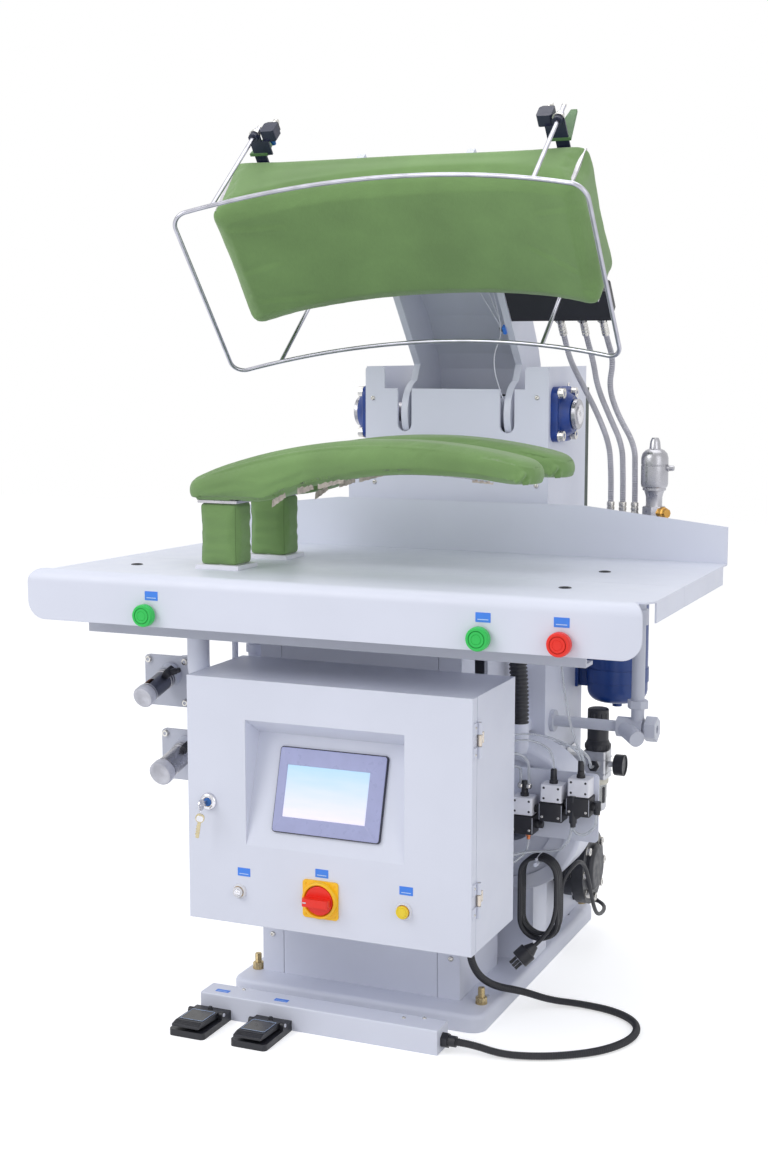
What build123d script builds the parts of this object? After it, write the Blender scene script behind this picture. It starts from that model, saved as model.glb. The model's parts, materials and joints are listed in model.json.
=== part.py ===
from build123d import *
from math import asin, cos, degrees, hypot, radians, sin, sqrt, tan
import os

# Sleeve seam pressing machine. Millimetres, origin on the floor at the centre of the base frame,
# +X to the operator's right, +Y into the machine, +Z up. The head is drawn open, as it stands at rest.

# Base frame and levelling bolts
base_width = 508.0
base_depth = 714.0
base_height = 32.0
base_sheet = 5.0
base_edge_radius = 9.0
base_corner_radius = 28.0
bolt_spacing_x = 458.0
bolt_front_y = -290.0
bolt_rear_y = 337.0
bolt_radius = 6.0
bolt_length = 62.0
nut_across_flats = 18.0
nut_height = 10.0
washer_radius = 11.0
washer_thickness = 2.5
foot_radius = 14.0
foot_height = 6.0
anchor_spacing_x = 450.0
anchor_spacing_y = 500.0
anchor_hole_radius = 6.0
running_gap = 0.3

# Front column
column_centre_x = -13.0
column_width = 404.0
column_front = -296.0
column_depth = 206.0
column_wall = 4.0
cover_sheet = 3.0
cover_flange = 44.0
cover_seam = 1.0
passage_width = 70.0
passage_height = 62.0
passage_z = 645.0

# Rear tower and the shaft's place in it
shaft_y = 139.0
shaft_z = 1092.0
tower_centre_x = 32.5
tower_width = 389.0
tower_front = 74.0
tower_depth = 250.0
tower_front_plate = 6.0
tower_side_plate = 8.0
tower_ear_top = shaft_z + 93
tower_middle_top = shaft_z + 49
tower_ear_left = 42.0
tower_ear_right = 49.0
tower_skirt = 38.0
tower_skirt_top = 1030.0
slot_width = 30.0
slot_bottom = shaft_z - 37
rear_cover_depth = 48.0
rear_cover_bottom = 830.0
rear_cover_top = shaft_z + 48
rear_cover_sheet = 2.0
link_top = 512.0
link_left = 190.0
link_right = 200.0
link_beam_height = 55.0
link_beam_width = 49.0
link_beam_z = 617.0

# Suction blower
blower_x = 200.0
blower_z = 320.0
blower_radius = 145.0
blower_thickness = 110.0
blower_front = -62.0
blower_inlet_radius = 48.0
blower_foot_width = 95.0
hose_outlet_x = 219.0
hose_outlet_y = -58.0
hose_outlet_z = 508.0
suction_hose_radius = 17.5
suction_hose_bore = 13.0
suction_hose_ribs = 30

# Head swing: the shaft, the arms and the opening angle
shaft_radius = 20.0
shaft_overhang = 45.0
opening_angle = 50.0
arm_spacing = 218.0
arm_thickness = 14.0
arm_lobe_radius = 66.0
hub_radius = 34.0
hub_length = 36.0
web_thickness = 6.0
lever_radius = 126.0
lever_boss_radius = 26.0
lever_pin_radius = 10.0

# Flange bearings
bearing_size = 108.0
bearing_flange = 14.0
bearing_boss_radius = 42.0
bearing_boss_length = 32.0
bearing_bolt_pitch = 82.0

# Pressing arch shared by the head and the bucks
arch_centre_x = 107.0
arch_radius = 1050.0
arch_top = 1063.0
press_gap = 0.5

# Head pad and platen, in the closed position
head_left = -308.0
head_right = 384.0
head_lean = 18.0
head_front = -444.0
head_depth = 278.0
head_top = 1150.0
arm_beam_bottom = head_top + 6
head_edge_radius = 20.0
pad_face_thickness = 16.0
pad_side_thickness = 10.0
pad_lip_thickness = 4.0
pad_lip_width = 30.0
platen_wall = 5.0

# Steam manifold on the head's right arm, in the closed position
manifold_left = 215.0
manifold_right = 350.0
manifold_front = -110.0
manifold_back = -40.0
manifold_height = 30.0
manifold_plate = 5.0
manifold_lift = 4.0
fitting_radius = 9.0
fitting_length = 30.0
hose_starts = (240.0, 285.0, 325.0)

# Guard loop round the head, in the closed position
guard_left = -331.0
guard_right = 428.0
guard_front = -488.0
guard_back = -121.0
guard_drop = 60.0
guard_wire_radius = 4.0
guard_corner_radius = 28.0
rod_top_left = 1182.0
rod_top_right = 1197.0
front_rod_left = -259.0
front_rod_right = 331.0
back_rod_left = -245.0
back_rod_right = 270.0
guide_radius = 9.0
guide_height = 16.0

# Bucks: two cantilever arms on posts
buck_left = -290.0
buck_right = 372.0
buck_width = 100.0
buck_front_y = -401.0
buck_rear_y = -226.0
buck_edge_radius = 20.0
buck_heel = -139.0
buck_tip_line = 300.0
buck_heel_bottom = 945.0
buck_heel_thickness = 44.0
buck_tip_thickness = 42.0
chamber_inset = 9.0
chamber_cover = 16.0
chamber_flange = 5.0
post_width = 79.0
post_depth = 67.0
post_inset = 8.0
post_wall = 5.0
post_plate = 8.0
post_plate_margin = 4.0
post_front_x = -228.0
post_rear_x = -219.0

# Table
table_top = 826.0
table_sheet = 3.0
table_left = -512.0
table_left_rear = -458.0
table_right = 596.0
apron_front = -556.0
apron_left = -552.0
apron_right = 585.0
apron_height = 91.0
apron_roll_radius = 22.0
apron_corner_radius = 34.0
table_seam = -328.0
table_rear = 10.0
side_flange = 35.0
splash_height = 98.0
splash_end_height = 68.0
splash_flat_left = -191.0
splash_flat_right = 322.0
rail_height = 20.0
rail_width = 40.0
rail_wall = 6.0
rail_bar_width = 60.0
apron_channel_left = -480.0
apron_channel_right = 470.0
apron_channel_front = -470.0
apron_channel_depth = 40.0
apron_channel_height = 120.0
table_hole_radius = 8.0
front_table_holes = ((-399.0, -430.0), (418.0, -421.0))
rear_table_hole = (421.0, -194.0)

# Palm buttons on the apron
palm_button_z = 756.0
palm_left_x = -304.0
palm_right_x = 318.0
stop_x = 454.0
palm_radius = 20.0
palm_depth = 12.0
palm_proud = 18.0
palm_stem_radius = 11.0
palm_travel = 5.0

# Electrical cabinet
cabinet_left = -253.0
cabinet_right = 290.0
cabinet_bottom = 201.0
cabinet_top = 645.0
cabinet_front = -510.0
cabinet_sheet = 3.0
cabinet_lip = 14.0
door_depth = 22.0
door_sheet = 2.5
door_gap = 0.4
recess_left = -136.0
recess_right = 167.0
recess_bottom = 347.0
recess_top = 573.0
recess_shelf = 31.0
recess_depth = 55.0
hinge_pin_radius = 2.0
hinge_radius = 4.0
hinge_length = 62.0
hinge_upper_z = 571.0
hinge_lower_z = 295.0
hinge_leaf_thickness = 2.0
hinge_leaf_width = 26.0
gear_plate_margin = 30.0
gear_plate_sheet = 2.5
gear_standoff = 12.0

# Door fittings
panel_x = 16.0
panel_z = 448.0
panel_width = 206.0
panel_height = 150.0
panel_bezel = 6.0
panel_body_inset = 7.0
panel_body_depth = 38.0
switch_x = 10.0
switch_z = 266.0
switch_plate_size = 68.0
switch_plate_thickness = 3.0
switch_knob_radius = 26.0
switch_knob_disc = 7.0
switch_handle_height = 18.0
switch_handle_width = 14.0
switch_spindle_radius = 5.0
white_x = -150.0
white_z = 261.0
white_radius = 8.0
white_bezel = 12.5
yellow_x = 167.0
yellow_z = 266.0
yellow_radius = 11.0
yellow_bezel = 14.5
bezel_thickness = 3.0
button_proud = 7.0
button_travel = 4.0
lock_x = -210.0
lock_z = 419.0
lock_radius = 15.0
lock_core_radius = 8.0
key_length = 30.0

# Pedal bar and foot switches
bar_left = -254.0
bar_right = 214.0
bar_front = -472.0
bar_depth = 51.0
bar_height = 45.0
bar_sheet = 2.5
pedal_width = 71.0
pedal_length = 104.0
pedal_left_x = -227.0
pedal_right_x = -103.0
pedal_base_height = 12.0
pedal_block_height = 19.0
pedal_block_length = 22.0
treadle_thickness = 6.0
treadle_hinge_radius = 2.0
pedal_travel = 4.0

# Corrugated conduit and its glands
conduit_radius = 7.0
conduit_bore = 5.0
conduit_ribs = 90
rib_height = 1.2
gland_radius = 12.0
gland_length = 26.0
gland_z = 20.0
cabinet_gland_x = 222.0
cabinet_gland_y = -335.0

# Air cylinder inside the tower
cylinder_radius = 48.0
cylinder_bore = 40.0
cylinder_bottom = 640.0
cylinder_cap = 22.0
rod_radius = 12.5
rod_gap = 0.3
piston_thickness = 30.0
yoke_width = 50.0
yoke_height = 44.0
yoke_thickness = 30.0
shelf_thickness = 8.0

# Suction pipes and valves on the left
pipe_front_x = -288.0
pipe_front_y = -403.0
pipe_front_radius = 20.5
pipe_rear_x = -266.0
pipe_rear_y = -222.0
pipe_rear_radius = 13.0
cross_pipe_y = -262.0
cross_pipe_radius = 24.0
upper_valve_x = -411.0
upper_valve_z = 586.0
lower_valve_x = -376.0
lower_valve_z = 443.0
valve_plate_size = 98.0
valve_plate_thickness = 8.0
valve_plate_y = -300.0
valve_body_radius = 38.0
actuator_length = 102.0
actuator_radius = 18.0
lower_actuator_radius = 21.0
actuator_tilt = 17.0
valve_collar = 46.0

# Air service unit on the tower's right side
service_x = 287.0
service_y = 247.0
service_z = 367.0
service_size = 48.0
service_height = 58.0
port_radius = 6.5
port_depth = 14.0
bonnet_radius = 20.0
bonnet_height = 21.0
knob_radius = 22.0
knob_height = 66.0
bowl_radius = 19.0
bowl_length = 72.0
gauge_radius = 22.0
gauge_thickness = 20.0
gauge_recess = 5.0
needle_length = 14.0

# Solenoid valves on their bracket in front of the blower
valve_bracket_front = -84.0
valve_bracket_sheet = 4.0
solenoid_width = 44.0
solenoid_depth = 40.0
solenoid_height = 34.0
solenoid_first_x = 246.0
solenoid_second_x = 303.0
solenoid_third_x = 356.0

# Steam trap, tank, pipework and angle-seat valve
trap_x = 262.0
trap_y = 180.0
trap_z = 165.0
trap_radius = 75.0
trap_outlet_radius = 10.0
trap_outlet_length = 16.0
tank_x = 312.0
tank_y = 300.0
tank_radius = 62.5
tank_bottom = 492.0
tank_top = 770.0
steam_x = 404.0
valve_x = 428.0
valve_seat = 20.0
clamp_z = 700.0
steam_y = 118.0
steam_radius = 13.0
steam_low_z = 478.0
steam_port_radius = 8.0
steam_port_depth = 16.0
manifold_z = 872.0
hose_radius = 5.5

# Power cord and its coil
cord_radius = 4.0
coil_x = 272.0
coil_z = 178.0
coil_width = 82.0
coil_height = 166.0
coil_front = -104.0
coil_loops = 4
coil_pitch = 8.8
coil_droops = (0.0, 7.0, -5.0, 3.0)
plug_radius = 18.0

# Derived places
column_top = table_top - table_sheet - rail_height
column_left = column_centre_x - column_width / 2
column_right = column_centre_x + column_width / 2
column_back = column_front + column_depth
tower_left = tower_centre_x - tower_width / 2
tower_right = tower_centre_x + tower_width / 2
tower_back = tower_front + tower_depth
head_back = head_front + head_depth
door_back = cabinet_front + door_depth - door_gap
box_front = cabinet_front + door_depth
swing_axis = Axis((tower_centre_x, shaft_y, shaft_z), (1, 0, 0))
lever_half_angle = opening_angle / 2

NODES = {}


def node(function):
    """Register a sub-part: the function's name after make_ is the node's name."""
    NODES[function.__name__.removeprefix("make_")] = function
    return function


def block(x0, x1, y0, y1, z0, z1):
    """A box between two corners."""
    return Pos((x0 + x1) / 2, (y0 + y1) / 2, (z0 + z1) / 2) * Box(x1 - x0, y1 - y0, z1 - z0)


def rod(start, end, radius):
    """A round bar between two points."""
    start, end = Vector(*start), Vector(*end)
    plane = Plane(origin=start, z_dir=end - start)
    return plane * Cylinder(radius, (end - start).length, align=(Align.CENTER, Align.CENTER, Align.MIN))


def prism_xz(outline, y0, y1):
    """Extrude an outline given as X and Z points, or as a sketch, between two Y planes."""
    face = make_face(Polyline(*outline, close=True)) if isinstance(outline, list) else outline
    return Pos(0, y1, 0) * extrude(Plane.XZ * face, y1 - y0)


def prism_yz(outline, x0, x1):
    """Extrude an outline given as Y and Z points, or as a sketch, between two X planes."""
    face = make_face(Polyline(*outline, close=True)) if isinstance(outline, list) else outline
    return Pos(x0, 0, 0) * extrude(Plane.YZ * face, x1 - x0)


def prism_xy(outline, z0, z1):
    """Extrude an outline given as X and Y points between two Z planes."""
    return Pos(0, 0, z0) * extrude(make_face(Polyline(*outline, close=True)), z1 - z0)


def rounded_block(x0, x1, y0, y1, z0, z1, axis, radius):
    """A box with its four edges along one axis rounded."""
    shape = block(x0, x1, y0, y1, z0, z1)
    return fillet(shape.edges().filter_by(axis), radius)


def hexagon(centre, direction, across_flats, height):
    """A hexagonal bar standing on a point."""
    plane = Plane(origin=Vector(*centre), z_dir=Vector(*direction))
    return extrude(plane * RegularPolygon(across_flats / 2, 6, major_radius=False), height)


def corner_radii(points):
    """Arc radii of a bent tube: 0.45 of the shorter run over the tangent of half the turn."""
    radii = []
    for before, here, after in zip(points, points[1:], points[2:]):
        run_in, run_out = Vector(*here) - Vector(*before), Vector(*after) - Vector(*here)
        turn = run_in.get_angle(run_out)
        radii.append(0.45 * min(run_in.length, run_out.length) / tan(radians(turn) / 2))
    return radii


def bent_path(points):
    return FilletPolyline(*points, radius=corner_radii(points))


def bent_tube(points, radius, name=""):
    """A round tube along straight runs joined by tangent arcs."""
    path = bent_path(points)
    section = Plane(origin=points[0], z_dir=Vector(*points[1]) - Vector(*points[0])) * Circle(radius)
    if name:
        print(name, "least radius", round(min(corner_radii(points)), 1), "length", round(path.length))
    return sweep(section, path=path)


def arch(x):
    """Height of the pressing face at an X position."""
    return arch_top - arch_radius + sqrt(arch_radius**2 - (x - arch_centre_x) ** 2)


def opened(shape):
    """Turn a shape from the closed to the open position of the head."""
    return shape.rotate(swing_axis, -opening_angle)


def bolt_places():
    """X and Y of the four levelling bolts."""
    return [(side * bolt_spacing_x / 2, y) for side in (-1, 1) for y in (bolt_front_y, bolt_rear_y)]


@node
def make_base_frame():
    outer = Box(base_width, base_depth, base_height, align=(Align.CENTER, Align.CENTER, Align.MIN))
    outer = fillet(outer.edges().filter_by(Axis.Z), base_corner_radius)
    outer = fillet(outer.faces().sort_by(Axis.Z)[-1].edges(), base_edge_radius)
    inner = Box(
        base_width - 2 * base_sheet, base_depth - 2 * base_sheet, base_height - base_sheet,
        align=(Align.CENTER, Align.CENTER, Align.MIN),
    )
    inner = fillet(inner.edges().filter_by(Axis.Z), base_corner_radius - base_sheet)
    inner = fillet(inner.faces().sort_by(Axis.Z)[-1].edges(), base_edge_radius - base_sheet)
    anchors = GridLocations(anchor_spacing_x, anchor_spacing_y, 2, 2)
    frame = outer - inner
    for x, y in bolt_places():
        frame -= Pos(x, y) * Cylinder(bolt_radius + running_gap, 3 * base_height)
    for place in anchors:
        frame -= place * Cylinder(anchor_hole_radius, 3 * base_height)
    return frame


@node
def make_levelling_bolts():
    group = []
    for x, y in bolt_places():
        foot = rod((x, y, 0), (x, y, foot_height), foot_radius)
        stud = rod((x, y, 0), (x, y, bolt_length), bolt_radius)
        washer = rod((x, y, base_height), (x, y, base_height + washer_thickness), washer_radius)
        nut = hexagon((x, y, base_height + washer_thickness), (0, 0, 1), nut_across_flats, nut_height)
        group.append(foot + stud + washer + nut)
    return Compound(group)


def cable_passage(x_centre):
    return rounded_block(
        x_centre - 20, x_centre + 20,
        column_front + (column_depth - passage_width) / 2, column_front + (column_depth + passage_width) / 2,
        passage_z - passage_height / 2, passage_z + passage_height / 2, Axis.X, 8,
    )


@node
def make_column_frame():
    """Box column with two hollow beams that tie it to the tower."""
    left, right = column_left + cover_sheet, column_right - cover_sheet
    front = column_front + cover_sheet
    outer = block(left, right, front, column_back, base_height, column_top)
    inner = block(
        left + column_wall, right - column_wall, front + column_wall, column_back - column_wall,
        base_height + column_wall, column_top - column_wall,
    )
    frame = outer - inner - cable_passage(column_right)
    low, high = link_beam_z - link_beam_height / 2, link_beam_z + link_beam_height / 2
    for x0 in (column_left, column_right - link_beam_width):
        x1 = x0 + link_beam_width
        frame += block(x0, x1, column_back, tower_front, low, high)
        frame -= block(
            x0 + column_wall, x1 - column_wall, column_back, tower_front + 1,
            low + column_wall, high - column_wall,
        )
    return frame


@node
def make_column_covers():
    """The front panel, the two side covers folded round the front corners, and the link cover."""
    seam_left, seam_right = column_left + cover_flange, column_right - cover_flange
    front = block(
        seam_left + cover_seam, seam_right - cover_seam, column_front, column_front + cover_sheet,
        base_height, column_top,
    )
    covers = [front]
    for side, corner, seam in ((1, column_left, seam_left), (-1, column_right, seam_right)):
        inner = corner + side * cover_sheet
        outline = [
            (corner, column_front), (seam, column_front), (seam, column_front + cover_sheet),
            (inner, column_front + cover_sheet), (inner, column_back), (corner, column_back),
        ]
        cover = prism_xy(outline, base_height, column_top)
        covers.append(cover - cable_passage(column_right))
    ledge = link_top - 46
    blower_side = blower_x - blower_radius - 15
    link_side = 40 - link_left
    outline = make_face(Polyline(
        (link_side, base_height), (blower_side, base_height), (blower_side, ledge), (link_right, ledge),
        (link_right, ledge + 14), (link_right - 15, link_top), (link_side, link_top), close=True,
    ))
    hollow = offset(outline, -cover_sheet)
    covers.append(prism_xz(outline, column_back, tower_front) - prism_xz(hollow, column_back, tower_front))
    return Compound(covers)


@node
def make_blower_housing():
    back = blower_front + blower_thickness
    drum = rod((blower_x, blower_front, blower_z), (blower_x, back, blower_z), blower_radius)
    drum = fillet(drum.edges(), 9)
    for radius, depth in ((blower_radius * 0.8, 5), (blower_radius * 0.6, 9)):
        centre = (blower_x, blower_front, blower_z)
        drum -= rod(centre, (blower_x, blower_front + depth, blower_z), radius)
    drum -= rod((blower_x, blower_front, blower_z), (blower_x, back - 12, blower_z), blower_inlet_radius)
    middle = rod(
        (blower_x, blower_front + 30, blower_z), (blower_x, back - 10, blower_z), blower_inlet_radius * 0.4,
    )
    foot = block(
        blower_x - blower_foot_width / 2, blower_x + blower_foot_width / 2,
        blower_front + 12, back - 12, base_height, blower_z - blower_radius + 20,
    )
    hook_x, hook_z = coil_x, coil_z + coil_height / 2 - 2 * cord_radius - 5
    hook = rod((hook_x, blower_front + 12, hook_z), (hook_x, coil_front - 10, hook_z), 4)
    outlet_low = blower_z + blower_radius * 0.9
    outlet = rod(
        (hose_outlet_x, hose_outlet_y, outlet_low), (hose_outlet_x, hose_outlet_y, hose_outlet_z),
        suction_hose_radius,
    )
    return drum + middle + foot + hook + outlet


def slot_centres():
    return [tower_centre_x - arm_spacing / 2, tower_centre_x + arm_spacing / 2]


@node
def make_tower_front_plate():
    left_slot, right_slot = slot_centres()
    outline = [
        (tower_left - tower_skirt, base_height), (tower_left - tower_skirt, tower_skirt_top),
        (tower_left, tower_skirt_top), (tower_left, tower_ear_top),
        (tower_left + tower_ear_left, tower_ear_top), (tower_left + tower_ear_left, tower_middle_top),
        (tower_right - tower_ear_right, tower_middle_top), (tower_right - tower_ear_right, tower_ear_top),
        (tower_right, tower_ear_top), (tower_right, base_height),
    ]
    plate = prism_xz(outline, tower_front, tower_front + tower_front_plate)
    edges = plate.edges().filter_by(Axis.Y)
    plate = fillet([e for e in edges if e.center().Z > tower_ear_top - 1], 8)
    slot_radius = slot_width / 2
    before, behind = tower_front - 5, tower_front + tower_front_plate + 5
    centre = slot_bottom + slot_radius
    for x in (left_slot, right_slot):
        plate -= block(x - slot_radius, x + slot_radius, before, behind, centre, tower_ear_top + 5)
        plate -= rod((x, before, centre), (x, behind, centre), slot_radius)
    return plate


@node
def make_tower_frame():
    """Side plates, back plate and the shelf that carries the cylinder."""
    inside = tower_front + tower_front_plate
    frame = block(tower_left, tower_right, inside, tower_back, base_height, tower_ear_top)
    frame -= block(
        tower_left + tower_side_plate, tower_right - tower_side_plate, inside - 1,
        tower_back - tower_side_plate, base_height - 1, tower_ear_top + 1,
    )
    frame -= block(
        tower_left + tower_side_plate, tower_right - tower_side_plate, tower_back - 2 * tower_side_plate,
        tower_back + 1, rear_cover_bottom + 12, tower_ear_top + 1,
    )
    shelf_top = cylinder_bottom
    frame += block(
        tower_left + tower_side_plate, tower_right - tower_side_plate, inside,
        tower_back - tower_side_plate, shelf_top - shelf_thickness, shelf_top,
    )
    for x in (tower_left, tower_right):
        frame -= rod((x - 20, shaft_y, shaft_z), (x + 20, shaft_y, shaft_z), shaft_radius + 8)
    return frame


@node
def make_tower_rear_cover():
    outer = rounded_block(
        tower_left + 12, tower_right - 6, tower_back, tower_back + rear_cover_depth,
        rear_cover_bottom, rear_cover_top, Axis.Z, 6,
    )
    inner = block(
        tower_left + 12 + rear_cover_sheet, tower_right - 6 - rear_cover_sheet, tower_back - 1,
        tower_back + rear_cover_depth - rear_cover_sheet,
        rear_cover_bottom + rear_cover_sheet, rear_cover_top - rear_cover_sheet,
    )
    return outer - inner


@node
def make_bearing_housings():
    """Square four-bolt flange bearings on both sides of the tower, with their bolt heads."""
    housings = []
    half = bearing_size / 2
    for side, face in ((-1, tower_left), (1, tower_right)):
        flange = block(0, bearing_flange, -half, half, -half, half)
        flange = fillet(flange.edges().filter_by(Axis.X), 20)
        flange = chamfer(flange.faces().sort_by(Axis.X)[-1].edges(), 2)
        boss = Plane(origin=(bearing_flange, 0, 0), z_dir=(1, 0, 0)) * Cone(
            bearing_boss_radius + 4, bearing_boss_radius - 6, bearing_boss_length - bearing_flange,
            align=(Align.CENTER, Align.CENTER, Align.MIN),
        )
        body = flange + boss
        for place in GridLocations(bearing_bolt_pitch, bearing_bolt_pitch, 2, 2):
            y, z = place.position.X, place.position.Y
            body += rod((bearing_flange - 2, y, z), (bearing_flange + 2, y, z), 10)
            body += hexagon((bearing_flange + 1, y, z), (1, 0, 0), 18, 9)
        body -= rod((-1, 0, 0), (2 * bearing_boss_length, 0, 0), shaft_radius + 0.05)
        if side < 0:
            body = mirror(body, Plane.YZ)
        housings.append(Pos(face, shaft_y, shaft_z) * body)
    return Compound(housings)


@node
def make_pivot_shaft():
    left, right = tower_left - shaft_overhang, tower_right + shaft_overhang
    shaft = rod((left, shaft_y, shaft_z), (right, shaft_y, shaft_z), shaft_radius)
    return chamfer(shaft.edges(), 1.5)


def arm_outline():
    """Side view of one swing arm in the closed position: beam, throat, lobe and lever."""
    half = radians(lever_half_angle)
    pin_y, pin_z = shaft_y + lever_radius * cos(half), shaft_z + lever_radius * sin(half)
    body = make_face(Polyline(
        (head_front + 34, arm_beam_bottom), (tower_front - 7, arm_beam_bottom), (shaft_y - 45, shaft_z - 8),
        (shaft_y, shaft_z - arm_lobe_radius + 8), (pin_y + 5, pin_z - lever_boss_radius + 2),
        (pin_y + 12, pin_z + lever_boss_radius - 5), (shaft_y + 61, shaft_z + 123),
        (shaft_y + 6, shaft_z + 155), (shaft_y - 27, shaft_z + 164), (shaft_y - 120, shaft_z + 173),
        (shaft_y - 290, shaft_z + 148), (head_front + 34, shaft_z + 104), close=True,
    ))
    lobe = Pos(shaft_y, shaft_z) * Circle(arm_lobe_radius)
    boss = Pos(pin_y, pin_z) * Circle(lever_boss_radius)
    return body + lobe + boss, (pin_y, pin_z)


@node
def make_swing_arm():
    """Two arm plates, the web between them, hubs on the shaft, lever pin and the head's mount plate."""
    outline, (pin_y, pin_z) = arm_outline()
    arm = Part()
    half = arm_thickness / 2
    for x in slot_centres():
        arm += prism_yz(outline, x - half, x + half)
    inner_left, inner_right = slot_centres()[0] + half, slot_centres()[1] - half
    web_line = [
        (head_front + 60, shaft_z + 100), (shaft_y - 290, shaft_z + 142), (shaft_y - 120, shaft_z + 167),
        (shaft_y - 27, shaft_z + 158), (shaft_y + 6, shaft_z + 149), (shaft_y + 52, shaft_z + 121),
    ]
    lower = [(y, z - web_thickness) for y, z in reversed(web_line)]
    web = prism_yz(web_line + lower, inner_left, inner_right)
    web -= block(
        inner_right - 28, inner_right + 5, shaft_y - 165, shaft_y - 125, shaft_z + 120, shaft_z + 200,
    )
    arm += web
    arm += block(
        inner_left - 40, inner_right + 40, head_front + 44, head_back - 40, head_top - pad_lip_thickness,
        arm_beam_bottom,
    )
    for x, side in zip(slot_centres(), (1, -1)):
        start = x - side * (half - 1)
        arm += rod((start, shaft_y, shaft_z), (start + side * hub_length, shaft_y, shaft_z), hub_radius)
    arm += rod((inner_left, pin_y, pin_z), (inner_right, pin_y, pin_z), lever_pin_radius)
    arm -= rod((tower_left, shaft_y, shaft_z), (tower_right, shaft_y, shaft_z), shaft_radius)
    return opened(arm)


def head_outline(inset, rise, top):
    """Front view of the head: arched pressing face below, flat top, leaning left end."""
    left, right = head_left + inset, head_right - inset
    low_left, low_right = (left, arch(left) + rise), (right, arch(right) + rise)
    return make_face([
        ThreePointArc(low_left, (arch_centre_x, arch_top + rise), low_right),
        Line(low_right, (right, top)),
        Line((right, top), (left - head_lean, top)),
        Line((left - head_lean, top), low_left),
    ])


def head_block(inset, rise, top):
    return prism_xz(head_outline(inset, rise, top), head_front + inset, head_back - inset)


@node
def make_head_platen():
    """The hollow steam chest behind the pad."""
    top = head_top - pad_lip_thickness
    outer = head_block(pad_side_thickness, pad_face_thickness, top)
    inner = head_block(pad_side_thickness + platen_wall, pad_face_thickness + platen_wall, top - platen_wall)
    return opened(outer - inner)


@node
def make_head_pad():
    """Cloth-covered pad: it wraps the face and the sides and turns over the top edge."""
    outer = head_block(0, 0, head_top)
    verticals = [e for e in outer.edges() if abs((e @ 1 - e @ 0).Z) > 60]
    outer = fillet(verticals, head_edge_radius)
    face_edges = outer.faces().sort_by(Axis.Z)[0].edges()
    outer = fillet(face_edges, head_edge_radius * 0.7)
    top = head_top - pad_lip_thickness
    outer -= head_block(pad_side_thickness, pad_face_thickness, top)
    window = block(
        head_left - head_lean + pad_lip_width, head_right - pad_lip_width,
        head_front + pad_lip_width, head_back - pad_lip_width, top - 1, head_top + 1,
    )
    return opened(outer - window)


def rod_places():
    """X, Y and top height of the four guard rods in the closed position."""
    return [
        (front_rod_left, guard_front, rod_top_left), (front_rod_right, guard_front, rod_top_right),
        (back_rod_left, guard_back, rod_top_left), (back_rod_right, guard_back, rod_top_left),
    ]


@node
def make_guard_brackets():
    """Four flat brackets on the head with rod guides; the front two carry an ear and a limit switch."""
    brackets = []
    base = head_top
    for x, y, top in rod_places():
        front = y < head_front
        root = head_front + 60 if front else head_back - 60
        y0, y1 = min(y, root), max(y, root)
        plate = block(x - 12, x + 12, y0, y1, base, base + 4)
        foot_y = root - 20 if front else root
        plate += block(x - 12, x + 12, foot_y, foot_y + 20, base - pad_lip_thickness, base + 4)
        guide = rod((x, y, base - 4), (x, y, base - 4 + guide_height), guide_radius)
        bracket = plate + guide
        if front:
            lean = 1 if x > 0 else -1
            ear = [(x - 20, base), (x + 16, base), (x + 6, base + 88), (x - 4, base + 88)]
            bracket += prism_xz(ear, head_front - 8, head_front - 4)
            switch_x = x - 26 if lean > 0 else x + 26
            bracket += rounded_block(
                switch_x - 14, switch_x + 14, y - 8, y + 14, base + 4, base + 34, Axis.Y, 5,
            )
            bracket += block(min(x, switch_x), max(x, switch_x), y + 10, head_front - 4, base, base + 4)
        bracket -= rod((x, y, base - 20), (x, y, top + 40), guard_wire_radius + running_gap)
        brackets.append(opened(bracket))
    return Compound(brackets)


def hose_fitting_z():
    """Height of the hose fittings on the manifold, in the closed position."""
    return arm_beam_bottom + manifold_lift + manifold_plate + manifold_height / 2


@node
def make_head_manifold():
    """Steam manifold on the right arm with three hose fittings."""
    arm_face = slot_centres()[1] + arm_thickness / 2
    low = arm_beam_bottom + manifold_lift
    top = low + manifold_plate
    shape = block(arm_face, manifold_right, manifold_front, manifold_back, low, top)
    shape += rounded_block(
        manifold_left, manifold_right, manifold_front, manifold_back, top, top + manifold_height, Axis.Z, 6,
    )
    axis_z = hose_fitting_z()
    for x in hose_starts:
        shape += hexagon((x, manifold_back, axis_z), (0, 1, 0), 2 * fitting_radius, fitting_length * 0.5)
        end = manifold_back + fitting_length
        shape += rod((x, manifold_back, axis_z), (x, end, axis_z), fitting_radius * 0.75)
    return opened(shape)


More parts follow.
